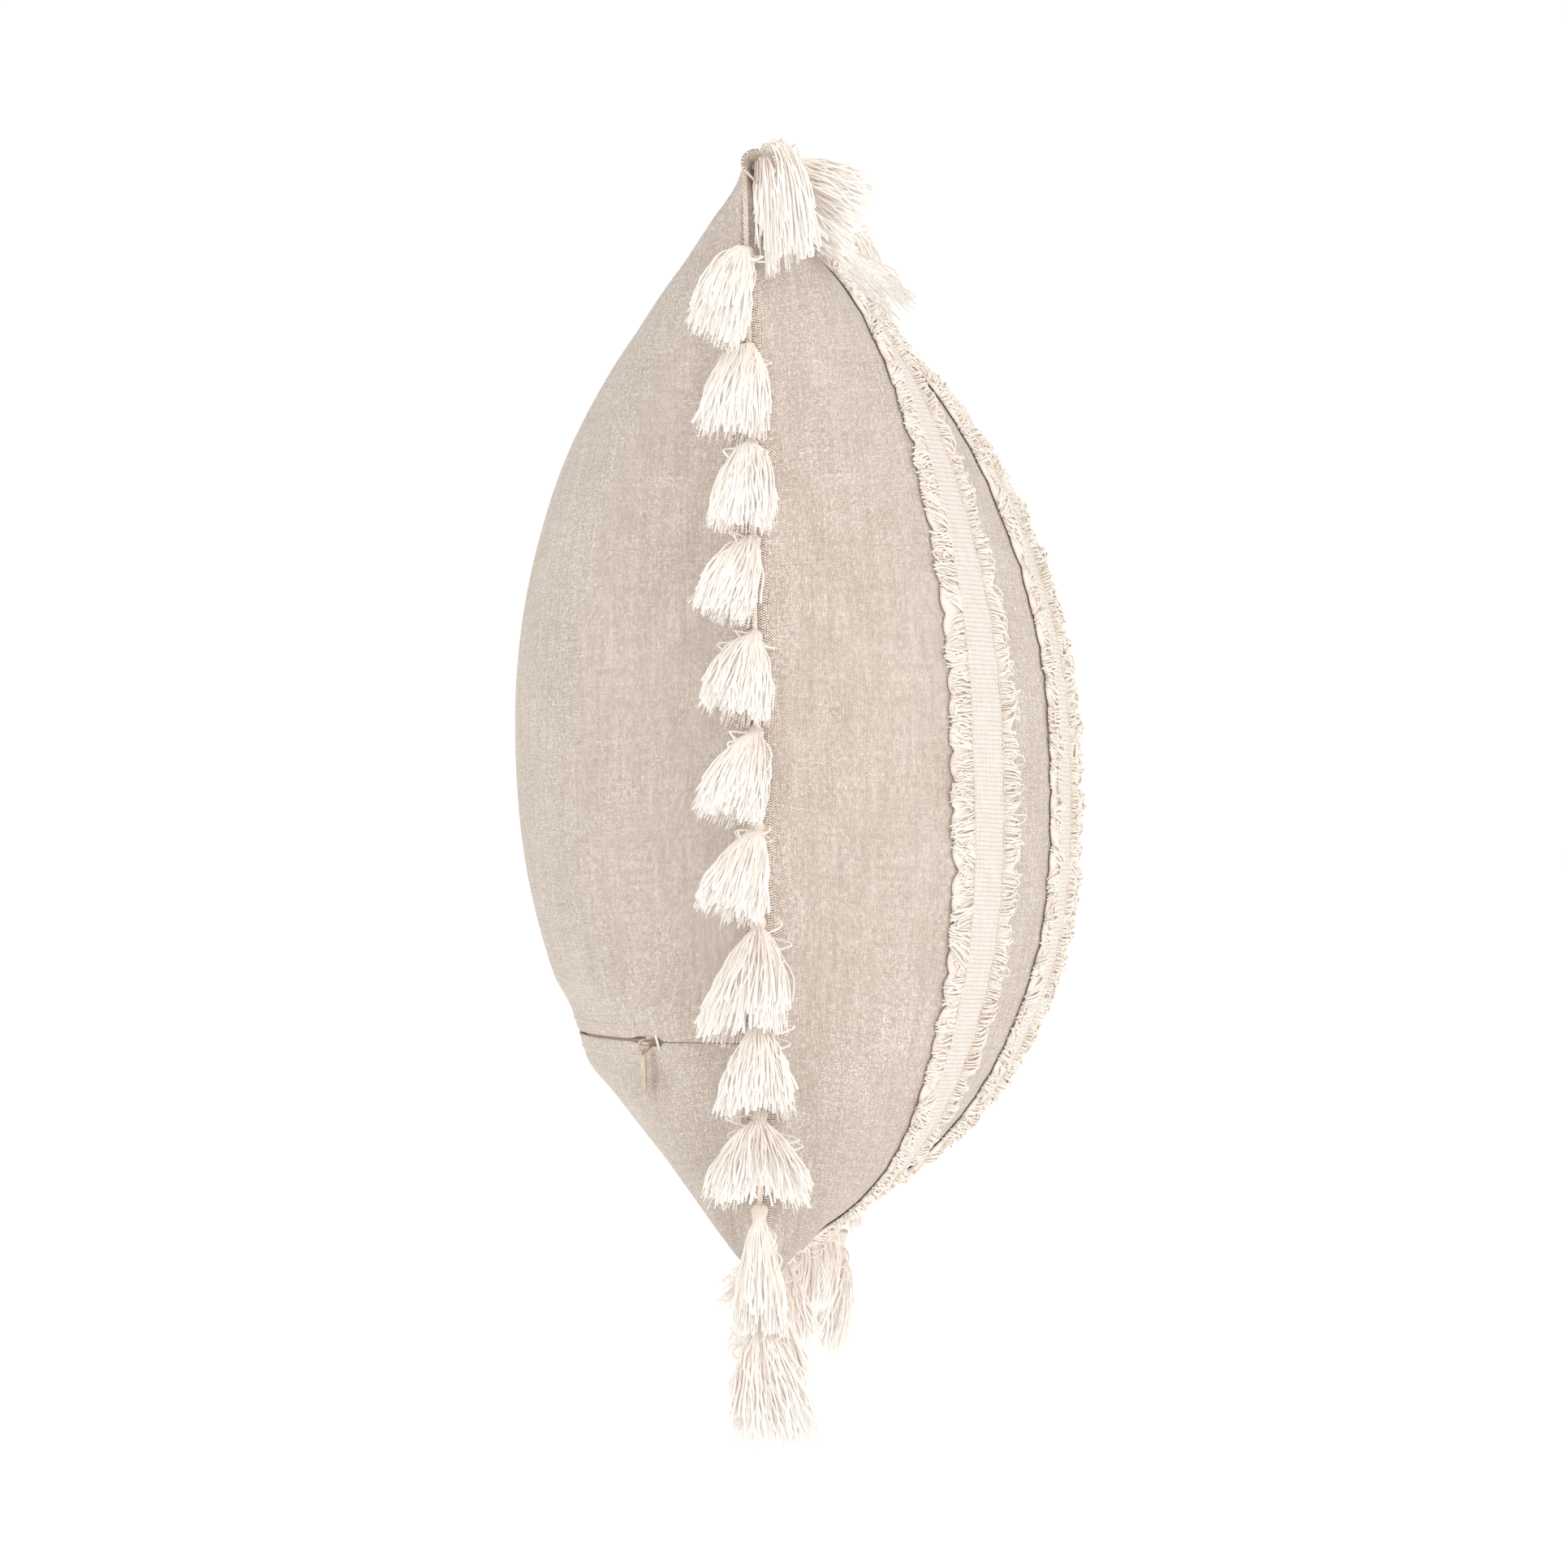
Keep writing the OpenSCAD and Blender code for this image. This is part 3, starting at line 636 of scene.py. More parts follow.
class Cover:
    """The stuffed cover: where any place of the flat fabric ends up."""

    def __init__(self, wrinkles):
        self.cells = SIM_CELLS * FINE
        self.fields = {side: finer(wrinkles[side], FINE) for side in (FRONT, BACK)}

    def lookup(self, grid, s, t):
        x = np.clip((s / HALF_COVER + 1) / 2 * self.cells, 0, self.cells - 1e-6)
        y = np.clip((t / HALF_COVER + 1) / 2 * self.cells, 0, self.cells - 1e-6)
        i, j = x.astype(int), y.astype(int)
        p, q = (x - i)[..., None], (y - j)[..., None]
        return ((grid[i, j] * (1 - p) + grid[i + 1, j] * p) * (1 - q)
                + (grid[i, j + 1] * (1 - p) + grid[i + 1, j + 1] * p) * q)

    def point(self, s, t, side):
        s, t = np.broadcast_arrays(np.asarray(s, float), np.asarray(t, float))
        place = form_point(s, t, side) + self.lookup(self.fields[side], s, t)
        if side == BACK:
            place = onto_zip(place)
        return place

    def above_front(self, s, t, height):
        """Place at a height over the front fabric."""
        s, t = np.broadcast_arrays(np.asarray(s, float), np.asarray(t, float))
        step = 1.5
        along_s = unit(self.point(np.minimum(s + step, HALF_COVER), t, FRONT)
                       - self.point(np.maximum(s - step, -HALF_COVER), t, FRONT))
        along_t = unit(self.point(s, np.minimum(t + step, HALF_COVER), FRONT)
                       - self.point(s, np.maximum(t - step, -HALF_COVER), FRONT))
        normal = unit(np.cross(along_s, along_t))
        normal *= np.sign(FRONT * normal[..., 1:2] + 1e-9)
        return self.point(s, t, FRONT) + normal * np.asarray(height)[..., None]


def surface_normals(points, outward):
    normal = unit(np.cross(np.gradient(points, axis=0), np.gradient(points, axis=1)))
    return normal * outward


def inner_side(outer, outward, side):
    """Inside of a sheet of fabric whose outside is given, kept clear of the seam plane; and its normals."""
    normal = surface_normals(outer, outward)
    inner = outer - normal * FABRIC
    depth = inner[..., 1] - MIDDLE[1]
    inner[..., 1] = np.where(side * depth < SEAM_CLEAR, MIDDLE[1] + side * SEAM_CLEAR, inner[..., 1])
    return inner, normal


def padded_piece(name, part, material, node):
    piece(name, [part], material, "pillow", [node])


def make_front(cover, material):
    s, t = flat_grid(cover.cells)
    outer = cover.point(s, t, FRONT)
    part = slab(outer, inner_side(outer, 1, FRONT)[0], np.stack([s, t], axis=-1))
    padded_piece("cover_front", part, material, "front_panel")


def lip_gap(angle):
    """Half the opening between the two lips: wider round the parked slider, closed beyond the ends."""
    parked = 1 - smooth_step(1.2, 3.4, np.abs(angle - SLIDER_ANGLE))
    gap = LIP_GAP + (LIP_GAP_SLIDER - LIP_GAP) * parked
    closed = smooth_step(ZIP_HALF_ANGLE - 0.2, ZIP_HALF_ANGLE + 0.8, np.abs(angle))
    return gap * (1 - closed) + LIP_GAP_CLOSED * closed


def zip_t(cover, s, height):
    """Fabric coordinate t where the back reaches a height along the zip's leaning plane."""
    low, high = np.full_like(s, -HALF_COVER), np.zeros_like(s)
    lean = math.cos(math.radians(ZIP_TILT))
    for _ in range(22):
        middle = (low + high) / 2
        place = cover.point(s, middle, BACK)
        above = (place[..., 2] - ZIP_Z) / lean > height
        high = np.where(above, middle, high)
        low = np.where(above, low, middle)
    return (low + high) / 2


def make_back(cover, material):
    """Two panels that meet at the zip, each with a rounded lip beside it."""
    columns = np.linspace(-HALF_COVER, HALF_COVER, cover.cells + 1)
    gap = lip_gap(zip_angle(cover.point(columns, zip_t(cover, columns, np.zeros_like(columns)), BACK)))
    for (name, sign), rows in zip(ZIP_SIDES, (130, 62)):
        edge = zip_t(cover, columns, sign * gap)
        spread = np.linspace(0, 1, rows + 1) ** 1.25
        t = edge[:, None] + (sign * HALF_COVER - edge[:, None]) * spread[None, :]
        s = np.broadcast_to(columns[:, None], t.shape)
        outer = cover.point(s, t, BACK)
        lip = 0
        if sign < 0:
            outer, t, s = outer[:, ::-1].copy(), t[:, ::-1], s[:, ::-1]
            lip = -1
        inner, normal = inner_side(outer, -1, BACK)
        inner[:, lip] = outer[:, lip] - normal[:, lip] * LIP_THICKNESS
        outer[:, lip] -= normal[:, lip] * LIP_ROUNDING
        part = slab(outer, inner, np.stack([s, t], axis=-1), flip=True)
        padded_piece("cover_back_" + name, part, material, "back_panel_" + name)


def make_insert(casing, wadding):
    s, t = flat_grid(INSERT_CELLS)
    uv = np.stack([s, t], axis=-1)

    def layer(side, inset):
        return form_point(s, t, side, inset, SEAM_CLEAR)

    for name, side in (("front", FRONT), ("back", BACK)):
        part = slab(layer(side, CASING_OUTSIDE), layer(side, CASING_INSIDE), uv, flip=side == BACK)
        padded_piece("insert_casing_" + name, part, casing, "insert_" + name)
    rng = np.random.default_rng(11)
    fade = smooth_step(0, LUMP_FADE, inside_edge(s, t))
    grids = []
    for side in (FRONT, BACK):
        lumps = blurred(rng.normal(0, 1, (INSERT_CELLS + 1, INSERT_CELLS + 1, 1)), 5)[..., 0] * LUMP_HEIGHT
        grid = layer(side, WADDING_OUTSIDE)
        grid[..., 1] -= side * np.abs(lumps) * fade
        grids.append(grid)
    padded_piece("insert_wadding", slab(*grids, uv), wadding, "insert_filling")


# ---------------------------------------------------------------- bands on the front
def make_tape(cover, number, centre, material):
    """Woven tape with slightly wavy, thicker selvedges."""
    x = np.linspace(-TAPE_HALF, TAPE_HALF, 15)
    s, t = np.meshgrid(centre + x, np.linspace(-BAND_END, BAND_END, 240), indexing="ij")
    edge = np.abs(x / TAPE_HALF)[:, None]
    ripple = 0.16 * np.sin(t / 3.1 + centre) * edge ** 4 + 0.22 * (edge > 0.93)
    top = cover.above_front(s, t, TAPE_LIFT + TAPE_THICKNESS - 0.5 * edge ** 8 + ripple)
    part = slab(top, cover.above_front(s, t, TAPE_LIFT), np.stack([s, t], axis=-1))
    piece("tape_%d" % number, [part], material, "pillow", ["band_tape_%d" % number])


def fringe_core(cover, centre, side, middles):
    """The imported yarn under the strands: a low ridge that swells at each tuft."""
    points = 10
    t = np.linspace(-BAND_END + 1, BAND_END - 1, 460)[:, None]
    lump = 1 - 0.22 * (np.abs(t - middles[None, :]).min(axis=1)[:, None] / (TUFT_PITCH / 2)) ** 2
    turn = np.linspace(0, 2 * math.pi, points, endpoint=False)[None, :]
    half = FRINGE_REACH * 0.42 * lump
    s = centre + side * (TAPE_HALF - 0.8 + half + half * np.cos(turn))
    rows = cover.above_front(s, t, 0.4 + 2.3 * lump * np.clip(0.25 + 0.75 * np.sin(turn), 0.05, 1))
    uv = np.stack(np.broadcast_arrays(t * 0.55, turn * 0.4), axis=-1)
    # the along value of 0.1 paints the core in the darker root tone, as painted shade under the strands
    return ring_body(rows, uv, np.full(s.shape, 0.1), flip=side < 0)


def fringe_strands(cover, centre, side, rng, root, middles):
    """Separate yarns, combed towards the middle of their tuft and arched over its core."""
    count = len(root)
    q = np.linspace(0, 1, 7)[None, :]

    def each(low, high):
        return rng.uniform(low, high, (count, 1))

    tuft = np.abs(root - middles[None, :]).argmin(axis=1)
    away = np.clip((root[:, 0] - middles[tuft]) / (TUFT_PITCH / 2), -1.3, 1.3)[:, None]
    comb = rng.normal(0, 3.4, len(middles))[tuft][:, None]
    size = rng.uniform(0.84, 1.06, len(middles))[tuft][:, None]
    stand = rng.uniform(3.6, 5.4, len(middles))[tuft][:, None]
    layer = each(0.35, 1)
    reach = FRINGE_REACH * size * (1 - 0.15 * away ** 2) * (1 - 0.25 * (1 - layer)) * each(0.86, 1.04)
    wave = each(0.3, 1.9) * np.sin(q * each(3, 9) + each(0, 6.3))
    s = centre + side * (TAPE_HALF - 1.4 + reach * (1.08 * q - 0.08 * q ** 3))
    t = root - away * TUFT_PITCH / 2 * 0.2 * q ** 1.5 + comb * q ** 1.6 + wave * q + rng.normal(0, 0.5, (count, 1))
    t = np.clip(t, -HALF_COVER + 1.5, HALF_COVER - 1.5)
    rise = np.sin(np.pi * np.clip(0.12 + 0.8 * q, 0, 1))
    height = 0.55 + stand * (1 - 0.35 * away ** 2) * layer * rise + 0.5 * wave * q
    paths = cover.above_front(s, t, np.maximum(height, 0.5))
    return tubes(paths, (0.42 - 0.08 * q ** 3) * each(0.85, 1.15))


def fringe_loops(cover, centre, side, rng):
    """A few uncut loops of yarn that stick out between the tufts."""
    def each(low, high):
        return rng.uniform(low, high, (FRINGE_LOOPS, 1))

    q = np.linspace(0, 1, 12)[None, :]
    root = each(-BAND_END + 4, BAND_END - 4)
    s = centre + side * (TAPE_HALF + each(7, FRINGE_REACH) * np.sin(np.pi * q) ** 0.8)
    t = root + each(2, 6) * (q - 0.5) + 1.0 * np.sin(q * 8 + root)
    height = 1.8 + 2.6 * np.sin(np.pi * q) * each(0.5, 1.0)
    return tubes(cover.above_front(s, t, height), np.full(s.shape, 0.36))


def fringe_parts(cover, centre, side, rng):
    """Frayed yarn along one edge of a tape, gathered into soft tufts that stand off the panel."""
    root = np.sort(rng.uniform(-BAND_END + 1, BAND_END - 1, FRINGE_YARNS))[:, None]
    middles = np.arange(-BAND_END, BAND_END + TUFT_PITCH, TUFT_PITCH)
    middles = middles + rng.normal(0, 1.3, len(middles))
    return [fringe_core(cover, centre, side, middles),
            fringe_strands(cover, centre, side, rng, root, middles),
            fringe_loops(cover, centre, side, rng)]


def make_fringe(cover, number, centre, material):
    rng = np.random.default_rng(30 + number)
    parts = fringe_parts(cover, centre, -1, rng) + fringe_parts(cover, centre, 1, rng)
    piece("fringe_%d" % number, parts, material, "pillow", ["band_fringe_%d" % number])


def make_band_stitches(cover, material):
    """A row of short arched stitches along both edges of each tape."""
    q = np.linspace(-1, 1, 6)[None, :]
    t = np.arange(-BAND_END + 4, BAND_END - 3, STITCH_STEP)[:, None] + q
    height = TAPE_LIFT + TAPE_THICKNESS - 0.12 + 0.3 * (1 - q ** 2) - 0.12 * q ** 8
    radii = np.full(t.shape, 0.28)
    parts = [tubes(cover.above_front(centre + side * (TAPE_HALF - 1.5), t, height), radii)
             for centre in BANDS for side in (-1, 1)]
    piece("band_stitching", parts, material, "pillow")


# ---------------------------------------------------------------- zip
def arc_strip(low, high, offset_in, offset_out, limit):
    """A strip bent along the zip's arc, between two heights and two offsets."""
    a, h = np.meshgrid(np.linspace(-limit, limit, 260), np.linspace(low, high, 5), indexing="ij")
    uv = np.stack([h, np.radians(a) * ZIP_RADIUS], axis=-1)
    return slab(zip_point(a, offset_out, h), zip_point(a, offset_in, h), uv, flip=True)


def coil_part(sign):
    """One nylon coil, wound along its edge of the zip."""
    q = np.linspace(0, 1, COIL_TURNS * 7 + 1)
    phase = q * COIL_TURNS * 2 * math.pi
    reach = ZIP_HALF_ANGLE - 0.72
    angle = -reach + 2 * reach * q
    path = zip_point(angle, 0, 0)
    outward = zip_point(angle, 1, 0) - path
    upward = zip_point(angle, 0, 1) - path
    forward = unit(np.gradient(path, axis=0))
    path = (path + outward * (COIL_OFFSET + 0.62 * np.sin(phase))[:, None]
            + upward * (sign * (COIL_HEIGHT + 0.48 * np.cos(phase)))[:, None]
            + 0.3 * np.sin(phase)[:, None] * forward)
    return tubes(path[None], np.full((1, len(path)), 0.34))


def bar_tack_parts(place):
    """Five close threads across one end of the slot."""
    h = np.linspace(-3.4, 3.4, 9)
    lift = 1.05 + 0.25 * (1 - (h / 3.4) ** 4)
    return [tubes(zip_point(np.full_like(h, place + k * 0.06), lift, h)[None], np.full((1, 9), 0.22))
            for k in range(-2, 3)]


def topstitch_part(height):
    q = np.linspace(-1, 1, 6)[None, :]
    a = np.arange(-ZIP_HALF_ANGLE + 0.6, ZIP_HALF_ANGLE - 0.5, 0.46)[:, None] + q * 0.16
    lift = LIP_OFFSET + 0.02 + 0.26 * (1 - q ** 2)
    return tubes(zip_point(a, lift, np.full_like(a, height)), np.full(a.shape, 0.17))


def make_zip(tape, coil, thread, fabric):
    """Everything of the zip but its slider and stops, which are CAD nodes."""
    for name, sign in ZIP_SIDES:
        part = arc_strip(*sorted((sign * 1.25, sign * 12.9)), -4.75, -4.2, ZIP_HALF_ANGLE - 0.05)
        piece("zip_tape_woven_" + name, [part], tape, "pillow", ["zip_tape_" + name])
    for name, sign in ZIP_SIDES:
        piece("zip_coil_wound_" + name, [coil_part(sign)], coil, "pillow", ["zip_coil_" + name])
    for name, sign in ZIP_SIDES:
        part = arc_strip(*sorted((sign * 3.3, sign * 8.6)), -0.25, 0.02, ZIP_HALF_ANGLE - 0.3)
        piece("zip_placket_" + name, [part], fabric, "pillow", ["zip_facing_" + name])
    bars = [bar for sign in (-1, 1) for bar in bar_tack_parts(sign * (ZIP_HALF_ANGLE - 0.05))]
    piece("zip_bar_tack_thread", bars, thread, "pillow", ["zip_bar_tacks"])
    piece("zip_topstitch", [topstitch_part(-6.3), topstitch_part(6.3)], thread, "pillow")


# ---------------------------------------------------------------- trim
def seam_point(t, reach):
    return (HALF_SIDE + reach) * t, -(HALF_SIDE + reach) * drawn_in(t)


SIDES = {"bottom": 0, "left": 1, "top": 2, "right": 3}


def on_side(side, t, reach):
    """Place in the frame of a point of a seam, and the direction out of it; t runs -1 to 1."""
    x, z = seam_point(np.asarray(t, float), reach)
    x2, z2 = seam_point(np.asarray(t, float), reach + 1)
    turn = SIDES[side] * math.pi / 2
    c, s = math.cos(turn), math.sin(turn)

    def turned(px, pz):
        return np.stack(np.broadcast_arrays(px * c + pz * s, 0.0, -px * s + pz * c), axis=-1)

    return turned(x, z) + MIDDLE, unit(turned(x2, z2) - turned(x, z))


def make_heading(side, material):
    """Corded heading of the tassel trim, caught in the seam between the panels."""
    q = np.linspace(-0.992, 0.992, 620)
    centre, outward = on_side(side, q, 0.6)
    across = np.array([0.0, 1.0, 0.0])
    parts = []
    for k in range(3):
        turn = q * HALF_SIDE / CORD_PITCH * 2 * math.pi + k * 2 * math.pi / 3
        path = centre + CORD_STRAND * (outward * np.sin(turn)[:, None] + across * np.cos(turn)[:, None])
        parts.append(tubes(path[None], np.full((1, len(q)), CORD_STRAND)))
    piece("trim_cord_" + side, parts, material, "pillow", ["trim_heading_" + side])


class TasselShape:
    """Middle line, cross directions and half width of a tassel, at places 0 to 1 along it."""

    def __init__(self, rng, root, out, hang, length, spread, flat, droop, stub, wide, rings):
        self.length, self.spread, self.flat, self.middle = length, spread, flat, rings // 2
        self.q = q = np.linspace(0, 1, rings)
        root, out, hang = np.asarray(root, float), unit(np.asarray(out, float)), unit(np.asarray(hang, float))
        first = root + out * stub
        end = first + hang * (length - stub)
        bend = first + (out * droop + hang * (0.5 - droop * 0.5)) * (length - stub) * 0.5
        corners = (root, root + out * stub * 1.1, bend, end)
        weights = ((1 - q) ** 3, 3 * q * (1 - q) ** 2, 3 * q * q * (1 - q), q ** 3)
        line = sum(weight[:, None] * corner for weight, corner in zip(weights, corners))
        self.tangent = unit(np.gradient(line, axis=0))
        wide = np.asarray(wide, float)
        self.side = unit(wide - self.tangent * np.sum(wide * self.tangent, axis=-1, keepdims=True))
        self.deep = np.cross(self.tangent, self.side)
        skew = rng.normal(0, 3.0, 2)
        lean = self.side * skew[0] + self.deep * skew[1] * flat
        self.line = line + lean * (self.opened(q) ** 2)[:, None]

    def opened(self, at):
        return np.clip((at - NECK_SHARE) / (1 - NECK_SHARE), 0, 1)

    def neck(self, at):
        return NECK * (1.12 - 0.3 * np.sin(np.clip(at / NECK_SHARE, 0, 1) * math.pi * 0.5) ** 2)

    def flare(self, at):
        opening = self.opened(at)
        return (0.82 * opening ** 1.05 + 0.18 * np.sin(opening * math.pi * 0.5)) * (self.spread - NECK)

    def place(self, at):
        """Points on the middle line, which goes straight on past its end."""
        past = np.maximum(at - 1, 0)[..., None] * self.length * self.tangent[-1]
        return sampled(at, self.q, self.line) + past


def tassel_core(shape, rng):
    """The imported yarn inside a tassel, ribbed like the strands that lie over it."""
    at = np.linspace(0.03, 0.9, 12)
    fullness = 0.8 - 0.25 * np.clip((at - 0.75) / 0.15, 0, 1) ** 2
    wide = fullness * (shape.neck(at) + shape.flare(at))
    deep = fullness * (shape.neck(at) + shape.flare(at) * shape.flat)
    turn = np.linspace(0, 2 * math.pi, 22, endpoint=False)[None, :]
    ripple = 1 + 0.05 * np.sin(5 * turn + rng.uniform(0, 6)) + 0.04 * np.sin(8 * turn + rng.uniform(0, 6))
    rows = (sampled(at, shape.q, shape.line)[:, None, :]
            + sampled(at, shape.q, shape.side)[:, None, :] * (np.cos(turn) * wide[:, None] * ripple)[..., None]
            + sampled(at, shape.q, shape.deep)[:, None, :] * (np.sin(turn) * deep[:, None] * ripple)[..., None])
    q = np.linspace(0, 1, len(at))[:, None]
    uv = np.stack(np.broadcast_arrays(turn * 3.2, q * 4.0), axis=-1)
    return ring_body(rows, uv, np.broadcast_to(q * 0.9, rows.shape[:2]))


def tassel_strands(shape, rng, count, curl):
    """The yarns of the skirt, gathered into loose locks that end at different heights."""
    def each(low, high):
        return rng.uniform(low, high, (count, 1))

    q = shape.q[None, :]
    opening = shape.opened(q)
    locks = max(7, count // 11)
    lock = rng.integers(0, locks, count)
    lock_angle = rng.uniform(0, 2 * math.pi, locks)[lock][:, None]
    lock_wave = rng.uniform(-1, 1, (2, locks))[:, lock][..., None]
    lock_reach = rng.uniform(-RAGGED, 0.35 * RAGGED, locks)[lock][:, None]
    off = rng.normal(0, 0.42, (count, 1))
    angle = lock_angle + off * (1 - 0.35 * opening) + 0.22 * lock_wave[0] * opening
    rho = np.sqrt(each(0.35, 1))
    grown = shape.flare(q) * (1 + rng.normal(0, 0.07, (count, 1)) + 0.09 * lock_wave[1])
    wide = rho * (shape.neck(q) + grown)
    deep = rho * (shape.neck(q) + grown * shape.flat)
    reach = 1 + each(-0.5 * RAGGED, 0.2 * RAGGED) + lock_reach - 0.05 * rho ** 3
    curl_size = (0.15 + curl * opening) * each(0.3, 1.5)
    sway = [0.0, 0.0]
    for k, wave in enumerate((1.4, 3.2)):
        for axis in (0, 1):
            phase = 2 * math.pi * wave * each(0.75, 1.3) * q + each(0, 6.3)
            sway[axis] = sway[axis] + curl_size / (1 + 0.6 * k) * np.sin(phase)
    paths = (shape.place(np.clip(q * reach, 0, 1.06))
             + shape.side[None] * (np.cos(angle) * wide + sway[0])[..., None]
             + shape.deep[None] * (np.sin(angle) * deep + sway[1])[..., None])
    return tubes(paths, (0.4 + 0.1 * q) * each(0.8, 1.2))


def tassel_hairs(shape, rng, count, curl):
    """Fine loose fibres over the lower half."""
    def each(low, high):
        return rng.uniform(low, high, (count, 1))

    q = np.linspace(0.45, 1, 9)[None, :]
    angle = each(0, 2 * math.pi)
    size = np.sqrt(each(0.45, 1.12)) * (shape.neck(1.0) + shape.flare(q))
    place = shape.place(np.clip(q * each(0.93, 1.03), 0, 1.03))
    bends = [curl * 1.6 * np.sin(q * each(9, 20) + each(0, 6.3)) * (q - 0.4) for _ in range(2)]
    flatness = 0.3 + 0.7 * shape.flat
    paths = (place + shape.side[shape.middle] * (np.cos(angle) * size + bends[0])[..., None]
             + shape.deep[shape.middle] * (np.sin(angle) * size * flatness + bends[1])[..., None])
    return tubes(paths, np.broadcast_to(0.24, (count, 9)) * each(0.7, 1.2))


def tassel_loops(shape, rng):
    """Stray loops of yarn round the neck."""
    loops, middle = 6, shape.middle

    def each(low, high):
        return rng.uniform(low, high, (loops, 1))

    q = np.linspace(0, 1, 14)[None, :]
    turn = each(0, 2 * math.pi)
    reach = NECK + each(0.35, 0.8) * shape.spread * np.sin(math.pi * q)
    root = sampled(each(0.1, 0.6) + 0.22 * q, shape.q, shape.line)
    aim = (np.cos(turn)[..., None] * shape.side[middle]
           + np.sin(turn)[..., None] * shape.deep[middle] * shape.flat)
    slip = np.cross(shape.tangent[middle], aim)
    slide = 2.2 * (q - 0.5) + 0.8 * np.sin(q * 9 + turn)
    return tubes(root + aim * reach[..., None] + slip * slide[..., None], np.full((loops, 14), 0.42))


def tassel_parts(root, out, hang, length, spread, seed, count, flat=1.0, droop=0.35, stub=6.0, curl=0.8,
                 wide=(0, 1, 0), rings=15):
    """A gathered bundle of plied yarn that flares into a dense soft skirt."""
    rng = np.random.default_rng(seed)
    shape = TasselShape(rng, root, out, hang, length, spread, flat, droop, stub, wide, rings)
    return [tassel_core(shape, rng), tassel_strands(shape, rng, count, curl),
            tassel_hairs(shape, rng, int(count * 0.6), curl), tassel_loops(shape, rng)]


def side_tassel(side, i, lean, spread, length, seed, count, rings=15):
    t = 1 - 2 * i / TASSEL_STEPS
    root, out = on_side(side, t if side == "right" else -t, TRIM_REACH)
    angle = math.radians(lean)
    hang = np.array([0.22 * out[0], math.sin(angle), -math.cos(angle)])
    return tassel_parts(root, out, hang, length, spread, seed, count, flat=0.62, stub=4.5, droop=0.4, rings=rings)


def make_side_tassels(material):
    rng = np.random.default_rng(5)
    for i, (lean, spread, length) in enumerate(NEAR_TASSELS, 1):
        parts = side_tassel("left", i, lean, spread, length, 100 + i, 330)
        piece("tassel_left_%d" % i, parts, material, "pillow", ["left_tassel_%d" % i])
    parts = []
    for i in range(1, TASSEL_STEPS):
        shape = rng.uniform(-15, 15), rng.uniform(11, 15), rng.uniform(37, 42)
        parts += side_tassel("right", i, *shape, 200 + i, 110, 12)
    piece("tassels_right", parts, material, "pillow", ["right_tassels"])


def make_top_tassels(material):
    rng = np.random.default_rng(6)
    parts = []
    for i in range(1, TASSEL_STEPS):
        t = 1 - 2 * i / TASSEL_STEPS
        root, out = on_side("top", t, TRIM_REACH)
        near_corner = i in (1, TASSEL_STEPS - 1)
        droop = math.radians((24 if i == 1 else 52) if near_corner else 38 + 8 * t * t)
        hang = np.array([rng.uniform(-0.15, 0.15), -math.cos(droop), -math.sin(droop) * 0.9])
        length = 50 if near_corner else rng.uniform(40, 44)
        spread = 18 if near_corner else rng.uniform(11, 13.5)
        parts += tassel_parts(root, out * 0.6 + np.array([0, -0.9, 0]), hang, length, spread, 300 + i,
                              300 if i == 1 else 95, flat=1.0 if i == 1 else 0.55, rings=12,
                              wide=(1, 0, 0), stub=6.5, droop=0.25, curl=1.6 if near_corner else 0.9)
    piece("tassels_top", parts, material, "pillow", ["top_tassels"])


def make_bottom_tassels(material):
    rng = np.random.default_rng(7)
    for i, lean in enumerate(BOTTOM_LEANS, 1):
        root, out = on_side("bottom", 2 * i / TASSEL_STEPS - 1, TRIM_REACH)
        swing = math.radians(lean)
        hang = np.array([rng.uniform(-0.08, 0.08), math.sin(swing), -math.cos(swing)])
        parts = tassel_parts(root, out, hang, rng.uniform(41, 44), rng.uniform(11.5, 14), 400 + i, 180)
        node = "bottom_tassel_%d" % i
        piece("tassel_bottom_%d" % i, parts, material, node, [node])


def make_corner_tassels(material):
    """Large tassels: the bottom ones hang free, the top ones fall over the curled corner to the front."""
    for side, name in ((-1, "left"), (1, "right")):
        root = MIDDLE + [side * (HALF_SIDE + 1.5), 0, -(HALF_SIDE + 1.5)]
        out, hang = (0.25 * side, 0, -1), (0, CORNER_LEANS[name], -1)
        node = "corner_tassel_bottom_" + name
        parts = tassel_parts(root, out, hang, 56, 17, 500 + side, 380, curl=1.4)
        piece("tassel_corner_bottom_" + name, parts, material, node, [node])
        root = MIDDLE + [side * (HALF_SIDE - 6), -5.5, HALF_SIDE - 3]
        out, hang = (side * 0.1, -0.3, 0.93), (side * 0.1, -0.2, -1)
        parts = tassel_parts(root, out, hang, 56, 12.5, 510 + side, 360, stub=10, droop=0.75, flat=0.75)
        piece("tassel_corner_top_" + name, parts, material, "pillow", ["corner_tassel_top_" + name])


